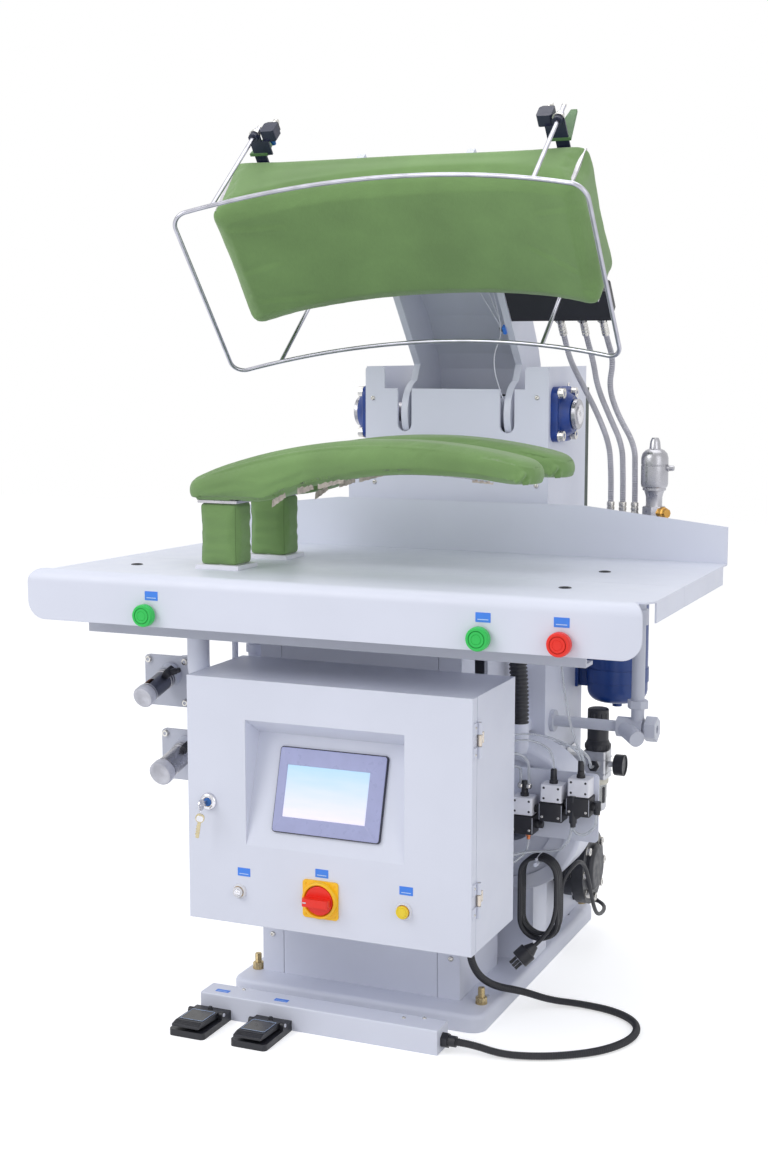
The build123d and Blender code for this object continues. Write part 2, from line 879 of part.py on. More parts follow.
def guard_path():
    """Closed centre line of the guard: arched front and back bars, straight ends, rounded corners."""
    level = arch_top - guard_drop - arch_radius

    def on_arc(angle, y):
        return Vector(arch_centre_x + arch_radius * sin(angle), y, level + arch_radius * cos(angle))

    corner = guard_corner_radius / arch_radius
    left = asin((guard_left - arch_centre_x) / arch_radius) + corner
    right = asin((guard_right - arch_centre_x) / arch_radius) - corner
    tangent = {angle: Vector(cos(angle), 0, -sin(angle)) for angle in (left, right)}
    front, back = guard_front, guard_back
    inset = guard_corner_radius
    p = [on_arc(left, front), on_arc(right, front)]
    q = [on_arc(right, back), on_arc(left, back)]
    right_side = on_arc(right, 0) + tangent[right] * inset
    left_side = on_arc(left, 0) - tangent[left] * inset
    r = [Vector(right_side.X, front + inset, right_side.Z), Vector(right_side.X, back - inset, right_side.Z)]
    s = [Vector(left_side.X, back - inset, left_side.Z), Vector(left_side.X, front + inset, left_side.Z)]
    edges = [
        ThreePointArc(p[0], on_arc((left + right) / 2, front), p[1]),
        TangentArc(p[1], r[0], tangent=tangent[right]),
        Line(r[0], r[1]),
        TangentArc(r[1], q[0], tangent=(0, 1, 0)),
        ThreePointArc(q[0], on_arc((left + right) / 2, back), q[1]),
        TangentArc(q[1], s[0], tangent=tangent[left] * -1),
        Line(s[0], s[1]),
        TangentArc(s[1], p[0], tangent=(0, -1, 0)),
    ]
    return edges


@node
def make_guard_loop():
    """The wire loop with its four rods and their stop collars."""
    edges = guard_path()
    wire = Wire(edges)
    section = Plane(origin=wire @ 0, z_dir=wire % 0) * Circle(guard_wire_radius)
    loop = sweep(section, path=wire)
    for x, y, top in rod_places():
        foot = arch(x) - guard_drop
        loop += rod((x, y, foot), (x, y, top), guard_wire_radius)
        collar = head_top - 4 + guide_height + running_gap
        loop += rod((x, y, collar), (x, y, collar + 8), guard_wire_radius + 3)
    return opened(loop)


def buck_outline(inset):
    """Front view of a buck: arched top, rounded tip, heel over the post."""
    left, right = buck_left + inset, buck_right - inset
    low = inset + press_gap
    tip = arch(right) - press_gap - buck_tip_thickness + inset
    heel = buck_heel_bottom + chamber_flange + inset
    middle = (arch_centre_x + 70, arch_top - press_gap - 12 - buck_tip_thickness + inset)
    neck = (buck_heel + 92, arch(buck_heel) - buck_heel_thickness - 8 + inset)
    return make_face([
        ThreePointArc((left, arch(left) - low), (arch_centre_x, arch_top - low), (right, arch(right) - low)),
        Line((right, arch(right) - low), (right, tip)),
        ThreePointArc((right, tip), middle, neck),
        Line(neck, (buck_heel, heel)),
        Line((buck_heel, heel), (left, heel)),
        Line((left, heel), (left, arch(left) - low)),
    ])


def buck_solid(centre_y, inset):
    """The outline extruded to the buck's width, with its four upright end edges rounded."""
    half = buck_width / 2 - inset
    shape = prism_xz(buck_outline(inset), centre_y - half, centre_y + half)
    upright = shape.edges().filter_by(Axis.Z)
    ends = [e for e in upright if e.center().X < buck_heel or e.center().X > buck_tip_line]
    return fillet(ends, half * 0.7)


def buck_places():
    return [(buck_front_y, post_front_x), (buck_rear_y, post_rear_x)]


@node
def make_buck_chambers():
    """Hollow steam and suction chambers, each with a neck and a flange on its post."""
    chambers = []
    for y, x in buck_places():
        chamber = buck_solid(y, chamber_inset) - buck_solid(y, chamber_inset + post_wall)
        half_x, half_y = post_width / 2 - post_inset, post_depth / 2 - post_inset
        neck_top = buck_heel_bottom + chamber_flange + chamber_inset + post_wall
        neck = block(x - half_x, x + half_x, y - half_y, y + half_y, buck_heel_bottom, neck_top)
        bore = block(
            x - half_x + post_wall, x + half_x - post_wall, y - half_y + post_wall, y + half_y - post_wall,
            buck_heel_bottom - 1, neck_top + 1,
        )
        flange = block(
            x - post_width / 2, x + post_width / 2, y - post_depth / 2, y + post_depth / 2,
            buck_heel_bottom, buck_heel_bottom + chamber_flange,
        )
        chambers.append(chamber + neck + flange - bore)
    return Compound(chambers)


@node
def make_buck_pads():
    """Cloth pads drawn over the chambers, open only round the necks."""
    pads = []
    for y, x in buck_places():
        pad = buck_solid(y, 0)
        crown = [e for e in pad.edges() if e.center().Z > arch(e.center().X) - press_gap - 0.5]
        pad = fillet(crown, buck_edge_radius * 0.8)
        half_x, half_y = post_width / 2 - post_inset, post_depth / 2 - post_inset
        bottom = buck_heel_bottom + chamber_flange
        pad -= buck_solid(y, chamber_inset)
        pad -= block(x - half_x, x + half_x, y - half_y, y + half_y, bottom - 1, bottom + chamber_cover)
        pads.append(pad)
    return Compound(pads)


@node
def make_buck_posts():
    """Hollow posts on foot plates screwed to the table."""
    posts = []
    for y, x in buck_places():
        half_x, half_y = post_width / 2, post_depth / 2
        margin = post_plate_margin
        plate = block(
            x - half_x - margin, x + half_x + margin, y - half_y - margin, y + half_y + margin,
            table_top, table_top + post_plate,
        )
        half_x, half_y = half_x - post_inset, half_y - post_inset
        tube = rounded_block(
            x - half_x, x + half_x, y - half_y, y + half_y, table_top, buck_heel_bottom, Axis.Z, 6,
        )
        bore = block(
            x - half_x + post_wall, x + half_x - post_wall, y - half_y + post_wall, y + half_y - post_wall,
            table_top - 1, buck_heel_bottom + 1,
        )
        posts.append(plate + tube - bore)
    return Compound(posts)


@node
def make_post_covers():
    """Padded sleeves round the posts."""
    covers = []
    for y, x in buck_places():
        half_x, half_y = post_width / 2, post_depth / 2
        low, high = table_top + post_plate, buck_heel_bottom
        outer = rounded_block(x - half_x, x + half_x, y - half_y, y + half_y, low, high, Axis.Z, 12)
        half_x, half_y = half_x - post_inset, half_y - post_inset
        inner = rounded_block(x - half_x, x + half_x, y - half_y, y + half_y, low, high, Axis.Z, 6)
        covers.append(outer - inner)
    return Compound(covers)


def table_left_at(y):
    """X of the tapered left edge of the table top."""
    front = apron_front + apron_roll_radius
    return table_left + (table_left_rear - table_left) * (y - front) / (table_rear - front)


def side_lip(points, depth, outward):
    """A folded lip that hangs from the table's edge along plan points."""
    (x0, y0), (x1, y1) = points
    outline = [(x0, y0), (x1, y1), (x1 + outward * table_sheet, y1), (x0 + outward * table_sheet, y0)]
    return prism_xy(outline, table_top - depth, table_top)


@node
def make_table_front():
    """Front table sheet: flat top, rolled front edge and the apron that carries the palm buttons."""
    low, roll, sheet = table_top - apron_height, apron_roll_radius, table_sheet
    back = apron_front + roll
    flat, inner = roll - sheet, apron_front + sheet
    side = make_face([
        Line((apron_front, low), (apron_front, table_top - roll)),
        TangentArc((apron_front, table_top - roll), (back, table_top), tangent=(0, 1)),
        Line((back, table_top), (back, table_top - sheet)),
        TangentArc((back, table_top - sheet), (inner, table_top - sheet - flat), tangent=(-1, 0)),
        Line((inner, table_top - sheet - flat), (inner, low)),
        Line((inner, low), (apron_front, low)),
    ])
    apron = prism_yz(side, apron_left, apron_right)
    frame = block(apron_left, apron_right, apron_front - 1, back, low, table_top)
    bottom = [e for e in frame.edges().filter_by(Axis.Y) if e.center().Z < low + 1]
    top = [e for e in frame.edges().filter_by(Axis.Y) if e.center().Z > table_top - 1]
    frame = fillet(bottom, apron_corner_radius)
    top = [e for e in frame.edges().filter_by(Axis.Y) if e.center().Z > table_top - 1]
    apron = apron & fillet(top, roll)
    seam = table_seam - cover_seam / 2
    plan = [
        (table_left_at(back), back), (apron_right - roll, back), (apron_right, back),
        (table_right, back + roll), (table_right, seam), (table_left_at(seam), seam),
    ]
    top_sheet = prism_xy(plan, table_top - sheet, table_top)
    left_lip = side_lip([(table_left_at(back), back), (table_left_at(seam), seam)], side_flange, 1)
    right_lip = side_lip([(table_right, back + roll), (table_right, seam)], side_flange, -1)
    table = apron + top_sheet + left_lip + right_lip
    for x, y in front_table_holes:
        table -= rod((x, y, table_top - 20), (x, y, table_top + 5), table_hole_radius)
    for x in (palm_left_x, palm_right_x, stop_x):
        start, end = (x, apron_front - 5, palm_button_z), (x, apron_front + 10, palm_button_z)
        table -= rod(start, end, palm_stem_radius + running_gap)
    return table


@node
def make_table_rear():
    """Rear table sheet with the upstand at its back and folded lips at its sides."""
    sheet, seam = table_sheet, table_seam + cover_seam / 2
    plan = [
        (table_left_at(seam), seam), (table_right, seam),
        (table_right, table_rear), (table_left_rear, table_rear),
    ]
    table = prism_xy(plan, table_top - sheet, table_top)
    upstand = [
        (table_left_rear, table_top - sheet), (table_left_rear, table_top + splash_end_height),
        (splash_flat_left, table_top + splash_height), (splash_flat_right, table_top + splash_height),
        (table_right, table_top + splash_end_height), (table_right, table_top - sheet),
    ]
    table += prism_xz(upstand, table_rear - sheet, table_rear)
    table += side_lip([(table_left_at(seam), seam), (table_left_rear, table_rear)], side_flange, 1)
    table += side_lip([(table_right, seam), (table_right, table_rear - side_flange)], side_flange, -1)
    x, y = rear_table_hole
    return table - rod((x, y, table_top - 20), (x, y, table_top + 5), table_hole_radius)


@node
def make_table_frame():
    """Front channel, rear cross bar and the two bars on the column that carry the table."""
    under = table_top - table_sheet
    back = apron_channel_front + apron_channel_depth
    channel = block(
        apron_channel_left, apron_channel_right, apron_channel_front, back,
        under - apron_channel_height, under,
    )
    channel -= block(
        apron_channel_left - 1, apron_channel_right + 1, apron_channel_front + rail_wall, back + 1,
        under - apron_channel_height + rail_wall, under - rail_wall,
    )
    frame = channel
    frame += block(
        table_left_rear + 20, table_right - 40, table_rear - rail_width, table_rear - table_sheet - 1,
        under - rail_height, under,
    )
    for x0 in (column_left - 33, column_right - rail_bar_width):
        x1, rail_end = x0 + rail_bar_width, table_rear - rail_width + 1
        frame += block(x0, x1, back - 1, rail_end, under - rail_height, under)
    return frame


def push_button(x, z, front, head_radius, stem_radius, proud, travel, rear):
    """A mushroom head on a stem that slides through its panel along Y."""
    head_back = front - travel - running_gap
    head = rod((x, head_back, z), (x, front - proud, z), head_radius)
    head = fillet(head.edges().sort_by(Axis.Y)[0], min(head_radius * 0.22, (proud - travel) * 0.4))
    return head + rod((x, head_back - 1, z), (x, rear, z), stem_radius)


def palm_button(x):
    rear = apron_front + table_sheet + palm_depth
    return push_button(
        x, palm_button_z, apron_front, palm_radius, palm_stem_radius, palm_proud, palm_travel, rear,
    )


@node
def make_palm_button_left():
    return palm_button(palm_left_x)


@node
def make_palm_button_right():
    return palm_button(palm_right_x)


@node
def make_stop_button():
    return palm_button(stop_x)


@node
def make_cabinet_box():
    """Sheet steel box open at the front, with a folded lip round the opening."""
    outer = block(cabinet_left, cabinet_right, box_front, column_front, cabinet_bottom, cabinet_top)
    sheet = cabinet_sheet
    outer -= block(
        cabinet_left + sheet, cabinet_right - sheet, box_front + sheet, column_front - sheet,
        cabinet_bottom + sheet, cabinet_top - sheet,
    )
    lip = cabinet_lip
    outer -= block(
        cabinet_left + lip, cabinet_right - lip, box_front - 1, box_front + sheet + 1,
        cabinet_bottom + lip, cabinet_top - lip,
    )
    centre = (cabinet_gland_x, cabinet_gland_y)
    outer -= rod((*centre, cabinet_bottom - 1), (*centre, cabinet_bottom + sheet + 1), gland_radius * 0.7)
    return outer


def hinge_axis_x():
    return cabinet_right + hinge_radius + 0.5


def hinge_part(z, low, high, bore, leaf_y0, leaf_y1):
    """One knuckle and its leaf; low and high are shares of the hinge's length."""
    x, y = hinge_axis_x(), box_front
    z0, z1 = z - hinge_length / 2 + low * hinge_length, z - hinge_length / 2 + high * hinge_length
    leaf = block(cabinet_right, cabinet_right + hinge_leaf_thickness, leaf_y0, leaf_y1, z0, z1)
    bridge = block(cabinet_right, x, min(leaf_y0, y), min(leaf_y0, y) + hinge_leaf_thickness, z0, z1)
    if leaf_y0 < y:
        bridge = block(cabinet_right, x, y - hinge_leaf_thickness - 1, y - 1, z0, z1)
    else:
        bridge = block(cabinet_right, x, y + 1, y + hinge_leaf_thickness + 1, z0, z1)
    knuckle = rod((x, y, z0), (x, y, z1), hinge_radius)
    part = leaf + bridge + knuckle
    if bore:
        part -= rod((x, y, z0 - 1), (x, y, z1 + 1), hinge_pin_radius + running_gap)
    return part


@node
def make_cabinet_hinges():
    """Fixed leaves with their middle knuckles and pins."""
    hinges = []
    for z in (hinge_lower_z, hinge_upper_z):
        leaf = hinge_part(z, 0.35, 0.65, False, box_front + 2, box_front + 2 + hinge_leaf_width)
        x, half = hinge_axis_x(), hinge_length / 2
        hinges.append(leaf + rod((x, box_front, z - half), (x, box_front, z + half), hinge_pin_radius))
    return Compound(hinges)


def recess_slope():
    """Direction up the recess's sloped face, and the normal that points at the operator."""
    rise = recess_top - recess_shelf - recess_bottom
    length = hypot(rise, recess_depth)
    return Vector(0, recess_depth / length, rise / length), Vector(0, -rise / length, recess_depth / length)


def panel_plane():
    """Plane on the sloped face at the operator panel's centre."""
    up, normal = recess_slope()
    y = cabinet_front + (panel_z - recess_bottom) * up.Y / up.Z
    return Plane(origin=(panel_x, y, panel_z), x_dir=(1, 0, 0), z_dir=normal)


@node
def make_cabinet_door():
    """Folded door with the sloped recess, its fitting holes and the outer hinge knuckles."""
    sheet = door_sheet
    door = block(cabinet_left, cabinet_right, cabinet_front, door_back, cabinet_bottom, cabinet_top)
    door = fillet(door.edges().filter_by(Axis.Z), 2)
    door -= block(
        cabinet_left + sheet, cabinet_right - sheet, cabinet_front + sheet, door_back + 1,
        cabinet_bottom + sheet, cabinet_top - sheet,
    )
    deep, shelf = cabinet_front + recess_depth, recess_top - recess_shelf
    shell = [
        (cabinet_front, recess_bottom - 3 * sheet), (cabinet_front, recess_top + sheet),
        (deep + sheet, shelf + 2 * sheet), (deep + sheet, shelf - 2 * sheet),
    ]
    void = [
        (cabinet_front - 5, recess_bottom), (cabinet_front, recess_bottom), (deep, shelf),
        (cabinet_front, recess_top), (cabinet_front - 5, recess_top),
    ]
    door += prism_yz(shell, recess_left - sheet, recess_right + sheet)
    door -= prism_yz(void, recess_left, recess_right)
    inset = panel_body_inset - running_gap
    door -= panel_plane() * Box(panel_width - 2 * inset, panel_height - 2 * inset, 30)
    for x, z, radius in (
        (switch_x, switch_z, switch_spindle_radius), (white_x, white_z, white_radius),
        (yellow_x, yellow_z, yellow_radius),
    ):
        door -= rod((x, cabinet_front - 1, z), (x, cabinet_front + 10, z), radius + running_gap)
    before, behind = cabinet_front - 1, cabinet_front + 10
    door -= rod((lock_x, before, lock_z), (lock_x, behind, lock_z), lock_core_radius + 2)
    for z in (hinge_lower_z, hinge_upper_z):
        for low, high in ((0, 0.33), (0.67, 1)):
            door += hinge_part(z, low, high, True, cabinet_front + 3, box_front - 4)
    return door


@node
def make_operator_panel():
    """Touch panel: bezel on the slope, screen set into it, body behind the door."""
    bezel = Box(panel_width, panel_height, panel_bezel, align=(Align.CENTER, Align.CENTER, Align.MIN))
    bezel = fillet(bezel.edges().filter_by(Axis.Z), 5)
    bezel = fillet(bezel.faces().sort_by(Axis.Z)[-1].edges(), 1.5)
    bezel -= Pos(0, 3, panel_bezel) * Box(panel_width - 34, panel_height - 38, 2)
    inset = panel_body_inset
    body = Box(
        panel_width - 2 * inset, panel_height - 2 * inset, panel_body_depth,
        align=(Align.CENTER, Align.CENTER, Align.MAX),
    )
    return panel_plane() * (bezel + body)


@node
def make_door_fittings():
    """Switch plate, lock body and the two button bezels on the door's face."""
    half, front = switch_plate_size / 2, cabinet_front
    plate = rounded_block(
        switch_x - half, switch_x + half, front - switch_plate_thickness, front,
        switch_z - half, switch_z + half, Axis.Y, 6,
    )
    plate -= rod(
        (switch_x, front - 10, switch_z), (switch_x, front + 1, switch_z),
        switch_spindle_radius + running_gap,
    )
    fittings = [plate]
    for x, z, bezel, radius in (
        (white_x, white_z, white_bezel, white_radius), (yellow_x, yellow_z, yellow_bezel, yellow_radius),
    ):
        ring = rod((x, front, z), (x, front - bezel_thickness, z), bezel)
        ring = chamfer(ring.edges().sort_by(Axis.Y)[0], 1)
        fittings.append(ring - rod((x, front + 1, z), (x, front - 10, z), radius + running_gap))
    lock = rod((lock_x, front, lock_z), (lock_x, front - 2 * bezel_thickness, lock_z), lock_radius)
    lock = fillet(lock.edges().sort_by(Axis.Y)[0], 2)
    lock += rod((lock_x, front - 1, lock_z), (lock_x, front + 24, lock_z), lock_core_radius + 2 - 0.1)
    lock -= rod((lock_x, front - 20, lock_z), (lock_x, front + 14, lock_z), lock_core_radius + running_gap)
    fittings.append(lock)
    return Compound(fittings)


@node
def make_main_switch_knob():
    """Round disc with a grip bar across it, on a spindle through the door."""
    face = cabinet_front - switch_plate_thickness - running_gap
    disc_front = face - switch_knob_disc
    disc = rod((switch_x, face, switch_z), (switch_x, disc_front, switch_z), switch_knob_radius)
    disc = fillet(disc.edges().sort_by(Axis.Y)[0], 2)
    half, reach = switch_handle_width / 2, switch_knob_radius - 1
    grip = rounded_block(
        switch_x - reach, switch_x + reach, disc_front - switch_handle_height, disc_front + 1,
        switch_z - half, switch_z + half, Axis.Z, 4,
    )
    spindle = rod(
        (switch_x, face - 1, switch_z), (switch_x, cabinet_front + 30, switch_z), switch_spindle_radius,
    )
    return disc + grip + spindle


@node
def make_white_button():
    front = cabinet_front - bezel_thickness
    return push_button(
        white_x, white_z, front, white_bezel - 3, white_radius,
        button_proud, button_travel, cabinet_front + 20,
    )


@node
def make_yellow_button():
    front = cabinet_front - bezel_thickness
    return push_button(
        yellow_x, yellow_z, front, yellow_bezel - 3, yellow_radius,
        button_proud, button_travel, cabinet_front + 20,
    )


@node
def make_lock_key():
    """Lock core with the key in it: blade and drilled bow."""
    front = cabinet_front - 2 * bezel_thickness
    core = rod((lock_x, cabinet_front + 13, lock_z), (lock_x, front, lock_z), lock_core_radius)
    blade = block(lock_x - 1.2, lock_x + 1.2, front - key_length / 2, front + 1, lock_z - 3.5, lock_z + 3.5)
    bow_y = front - key_length / 2 - 7
    bow = rod((lock_x - 1.2, bow_y, lock_z), (lock_x + 1.2, bow_y, lock_z), 10)
    bow -= rod((lock_x - 2, bow_y - 4, lock_z), (lock_x + 2, bow_y - 4, lock_z), 2.5)
    return core + blade + bow


@node
def make_control_gear():
    """Mounting plate on standoffs with rail-mounted gear: supply, relays, terminals and trunking."""
    back = column_front - cabinet_sheet
    margin, sheet = gear_plate_margin, gear_plate_sheet
    plate_back = back - gear_standoff
    x0, x1 = cabinet_left + margin, cabinet_right - margin
    z0, z1 = cabinet_bottom + margin, cabinet_top - margin
    plate = block(x0, x1, plate_back - sheet, plate_back, z0, z1)
    for x in (x0 + 15, x1 - 15):
        for z in (z0 + 15, z1 - 15):
            plate += rod((x, plate_back - 1, z), (x, back, z), 5)
    face = plate_back - sheet
    gear = [
        (x0 + 130, x0 + 220, 90, z1 - 150, z1 - 30), (x0 + 250, x0 + 340, 62, z1 - 130, z1 - 40),
        (x0 + 20, x1 - 20, 34, z1 - 225, z1 - 190), (x0 + 130, x1 - 40, 48, z1 - 320, z1 - 250),
    ]
    for left, right, depth, low, high in gear:
        plate += block(left, right, face - depth, face + 1, low, high)
    return plate


@node
def make_pedal_bar():
    """Folded cover that stands on the floor and carries the conduit's gland at its right end."""
    sheet = bar_sheet
    outer = block(bar_left, bar_right, bar_front, bar_front + bar_depth, 0, bar_height)
    outer = fillet(outer.edges().filter_by(Axis.X).filter_by(lambda e: e.center().Z > 1), 3)
    inner = block(
        bar_left + sheet, bar_right - sheet, bar_front + sheet, bar_front + bar_depth - sheet,
        -1, bar_height - sheet,
    )
    gland_y = bar_front + bar_depth / 2
    hole = rod((bar_right - 10, gland_y, gland_z), (bar_right + 1, gland_y, gland_z), conduit_bore)
    return outer - inner - hole


def pedal_places():
    return [("left", pedal_left_x), ("right", pedal_right_x)]


def treadle_axis():
    """Y and Z of the treadle's hinge."""
    return bar_front - pedal_block_length - 6, pedal_block_height + 1


@node
def make_foot_switch_bases():
    """Cast bases with a switch block at the back and two lugs for the treadle's pin."""
    bases = []
    hinge_y, hinge_z = treadle_axis()
    for _, x in pedal_places():
        half = pedal_width / 2
        base = rounded_block(
            x - half, x + half, bar_front - pedal_length, bar_front, 0, pedal_base_height, Axis.Z, 8,
        )
        base += block(x - half, x + half, bar_front - pedal_block_length, bar_front, 0, pedal_block_height)
        for side in (-1, 1):
            inner, outer = x + side * (half - 8), x + side * half
            lug = block(min(inner, outer), max(inner, outer), hinge_y - 6, hinge_y + 6, 4, hinge_z)
            lug += rod((inner, hinge_y, hinge_z), (outer, hinge_y, hinge_z), 6)
            base += lug
        base += rod((x - half + 1, hinge_y, hinge_z), (x + half - 1, hinge_y, hinge_z), treadle_hinge_radius)
        bases.append(base)
    return Compound(bases)


def treadle(x):
    """Ribbed foot plate between the lugs, hinged at its back."""
    hinge_y, hinge_z = treadle_axis()
    half = pedal_width / 2 - 8 - 2 * running_gap
    front = bar_front - pedal_length
    drop = (hinge_y - front) * tan(radians(pedal_travel))
    tip = pedal_base_height + drop + 1
    side = [
        (hinge_y, hinge_z - 5), (hinge_y, hinge_z + 5), (front + 12, tip + treadle_thickness + 2),
        (front - 2, tip + treadle_thickness - 1), (front - 2, tip + 1), (front + 8, tip),
    ]
    plate = prism_yz(side, x - half, x + half)
    plate += rod((x - half, hinge_y, hinge_z), (x + half, hinge_y, hinge_z), 5)
    bore = treadle_hinge_radius + running_gap
    return plate - rod((x - 2 * half, hinge_y, hinge_z), (x + 2 * half, hinge_y, hinge_z), bore)


@node
def make_treadle_left():
    return treadle(pedal_left_x)


@node
def make_treadle_right():
    return treadle(pedal_right_x)


def conduit_points():
    """Route of the conduit: along the floor, over the base frame and up into the cabinet."""
    start = bar_right + gland_length
    y = bar_front + bar_depth / 2
    return [
        (start, y, gland_z), (start + 30, y, gland_z), (316, -440, 9), (362, -429, 7.4), (420, -402, 7.4),
        (480, -352, 7.4), (513, -280, 7.4), (503, -212, 7.4), (450, -170, 7.4), (378, -160, 7.4),
        (324, -177, 12), (280, -208, 34), (243, -246, 50), (228, -284, 76), (223, -316, 108),
        (cabinet_gland_x, cabinet_gland_y, 142),
        (cabinet_gland_x, cabinet_gland_y, cabinet_bottom - gland_length),
    ]


def suction_hose_points():
    """Route of the suction hose from the blower's outlet up to the table."""
    x, y, low = hose_outlet_x, hose_outlet_y, hose_outlet_z
    return [
        (x, y, low), (x, y, low + 60), (213, y - 2, 640), (216, y - 2, 710),
        (222, y, table_top - table_sheet - 60), (222, y, table_top - table_sheet),
    ]


def ribbed_tube(points, outer, valley, bore, ribs, name):
    """A corrugated hose: four circles make each rib, on an X axis carried along without twist."""
    path = bent_path(points)
    plain = 2 * outer / path.length
    x_axis = Vector(0, 0, 1) if abs((path % 0).Z) < 0.9 else Vector(1, 0, 0)
    pitch = (1 - 2 * plain) / ribs
    places = [(0, valley), (plain - pitch * 0.15, valley)]
    for rib in range(ribs):
        start = plain + rib * pitch
        places += [
            (start, valley), (start + pitch * 0.2, outer), (start + pitch * 0.55, outer),
            (start + pitch * 0.75, valley),
        ]
    places.append((1, valley))
    rings = []
    for share, radius in places:
        tangent = path % share
        x_axis = (x_axis - tangent * x_axis.dot(tangent)).normalized()
        rings.append(Plane(origin=path @ share, x_dir=x_axis, z_dir=tangent) * Circle(radius))
    skin = loft([ring.face() for ring in rings], ruled=True)
    hollow = sweep(Plane(origin=path @ 0, z_dir=path % 0) * Circle(bore), path=path)
    radii = corner_radii(points)
    print(name, "least radius", round(min(radii), 1), "length", round(path.length))
    return skin - hollow


@node
def make_foot_conduit():
    rib = conduit_radius
    return ribbed_tube(conduit_points(), rib, rib - rib_height, conduit_bore, conduit_ribs, "foot_conduit")


@node
def make_suction_hose():
    return ribbed_tube(
        suction_hose_points(), suction_hose_radius, suction_hose_radius - 2 * rib_height,
        suction_hose_bore, suction_hose_ribs, "suction_hose",
    )


def gland(base, direction):
    """A cable gland: hexagon against the wall, dome nut, bored for the conduit."""
    nut = hexagon(base, direction, 2 * gland_radius, gland_length * 0.45)
    start, way = Vector(*base), Vector(*direction)
    seat, end = start + way * (gland_length * 0.45 - 1), start + way * gland_length
    collar = rod(tuple(seat), tuple(end), gland_radius * 0.82)
    bore = rod(tuple(start - way), tuple(start + way * (gland_length + 1)), conduit_bore)
    return nut + collar - bore


@node
def make_conduit_glands():
    bar_gland = gland((bar_right, bar_front + bar_depth / 2, gland_z), (1, 0, 0))
    box_gland = gland((cabinet_gland_x, cabinet_gland_y, cabinet_bottom), (0, 0, -1))
    return Compound([bar_gland, box_gland])


def cylinder_place():
    """Y of the cylinder's axis, its stroke, and the yoke's height with the head open."""
    half = radians(lever_half_angle)
    reach = lever_radius * (1 + cos(half)) / 2
    return shaft_y + reach, 2 * lever_radius * sin(half), shaft_z - lever_radius * sin(half)


@node
def make_cylinder_barrel():
    """Air cylinder on the tower's shelf, with square end caps, tie rods and a bored rod gland."""
    y, stroke, _ = cylinder_place()
    x, bottom, cap = tower_centre_x, cylinder_bottom, cylinder_cap
    top = bottom + 2 * cap + piston_thickness + stroke + 4
    half = cylinder_radius + 3
    barrel = rod((x, y, bottom), (x, y, top), cylinder_radius)
    for z in (bottom, top - cap):
        barrel += rounded_block(x - half, x + half, y - half, y + half, z, z + cap, Axis.Z, 8)
    for place in GridLocations(2 * half - 18, 2 * half - 18, 2, 2):
        corner = (x + place.position.X, y + place.position.Y)
        barrel += rod((*corner, bottom), (*corner, top + 6), 4)
    barrel -= rod((x, y, bottom + cap), (x, y, top - cap), cylinder_bore)
    return barrel - rod((x, y, bottom + cap), (x, y, top + 5), rod_radius + rod_gap)


@node
def make_cylinder_rod():
    """Piston, rod and the slotted yoke that takes the lever pin."""
    y, _, yoke_z = cylinder_place()
    x = tower_centre_x
    seat = cylinder_bottom + cylinder_cap + 2
    piston = rod((x, y, seat), (x, y, seat + piston_thickness), cylinder_bore - rod_gap)
    bar = rod((x, y, seat), (x, y, yoke_z - yoke_height / 2 + 1), rod_radius)
    swing = lever_radius * (1 - cos(radians(lever_half_angle))) / 2
    slot_y, slot_z = lever_pin_radius + swing + rod_gap, lever_pin_radius + 2 * rod_gap + 0.6
    yoke = rounded_block(
        x - yoke_thickness / 2, x + yoke_thickness / 2, y - yoke_width / 2, y + yoke_width / 2,
        yoke_z - yoke_height / 2, yoke_z + yoke_height / 2, Axis.X, 8,
    )
    yoke -= rounded_block(
        x - yoke_thickness, x + yoke_thickness, y - slot_y, y + slot_y, yoke_z - slot_z, yoke_z + slot_z,
        Axis.X, slot_z - 0.5,
    )
    return piston + bar + yoke


def valve_places():
    return [
        (upper_valve_x, upper_valve_z, actuator_radius),
        (lower_valve_x, lower_valve_z, lower_actuator_radius),
    ]


@node
def make_suction_pipes():
    """Pipes from the posts and the column to the two suction valves, with a hanger rod."""
    pipes = []
    under = table_top - table_sheet
    front = bent_tube([
        (pipe_front_x, pipe_front_y, under), (pipe_front_x, pipe_front_y, upper_valve_z),
        (pipe_front_x, cross_pipe_y, upper_valve_z),
    ], pipe_front_radius)
    rear = bent_tube([
        (pipe_rear_x, pipe_rear_y, under), (pipe_rear_x, pipe_rear_y, lower_valve_z),
        (pipe_rear_x, cross_pipe_y, lower_valve_z),
    ], pipe_rear_radius)
    rear += rod((pipe_rear_x, pipe_rear_y, 640), (pipe_rear_x, pipe_rear_y, 655), pipe_rear_radius + 4)
    for x, z, _ in valve_places():
        end = x + valve_collar
        cross = rod((end, cross_pipe_y, z), (column_left, cross_pipe_y, z), cross_pipe_radius)
        flange = (column_left - 12, cross_pipe_y, z)
        cross += rod(flange, (column_left, cross_pipe_y, z), cross_pipe_radius + 8)
        pipes.append(cross)
    hanger = rod((-294, cross_pipe_y + 12, upper_valve_z), (-294, cross_pipe_y + 12, under), 6)
    return pipes[0] + front + hanger + pipes[1] + rear


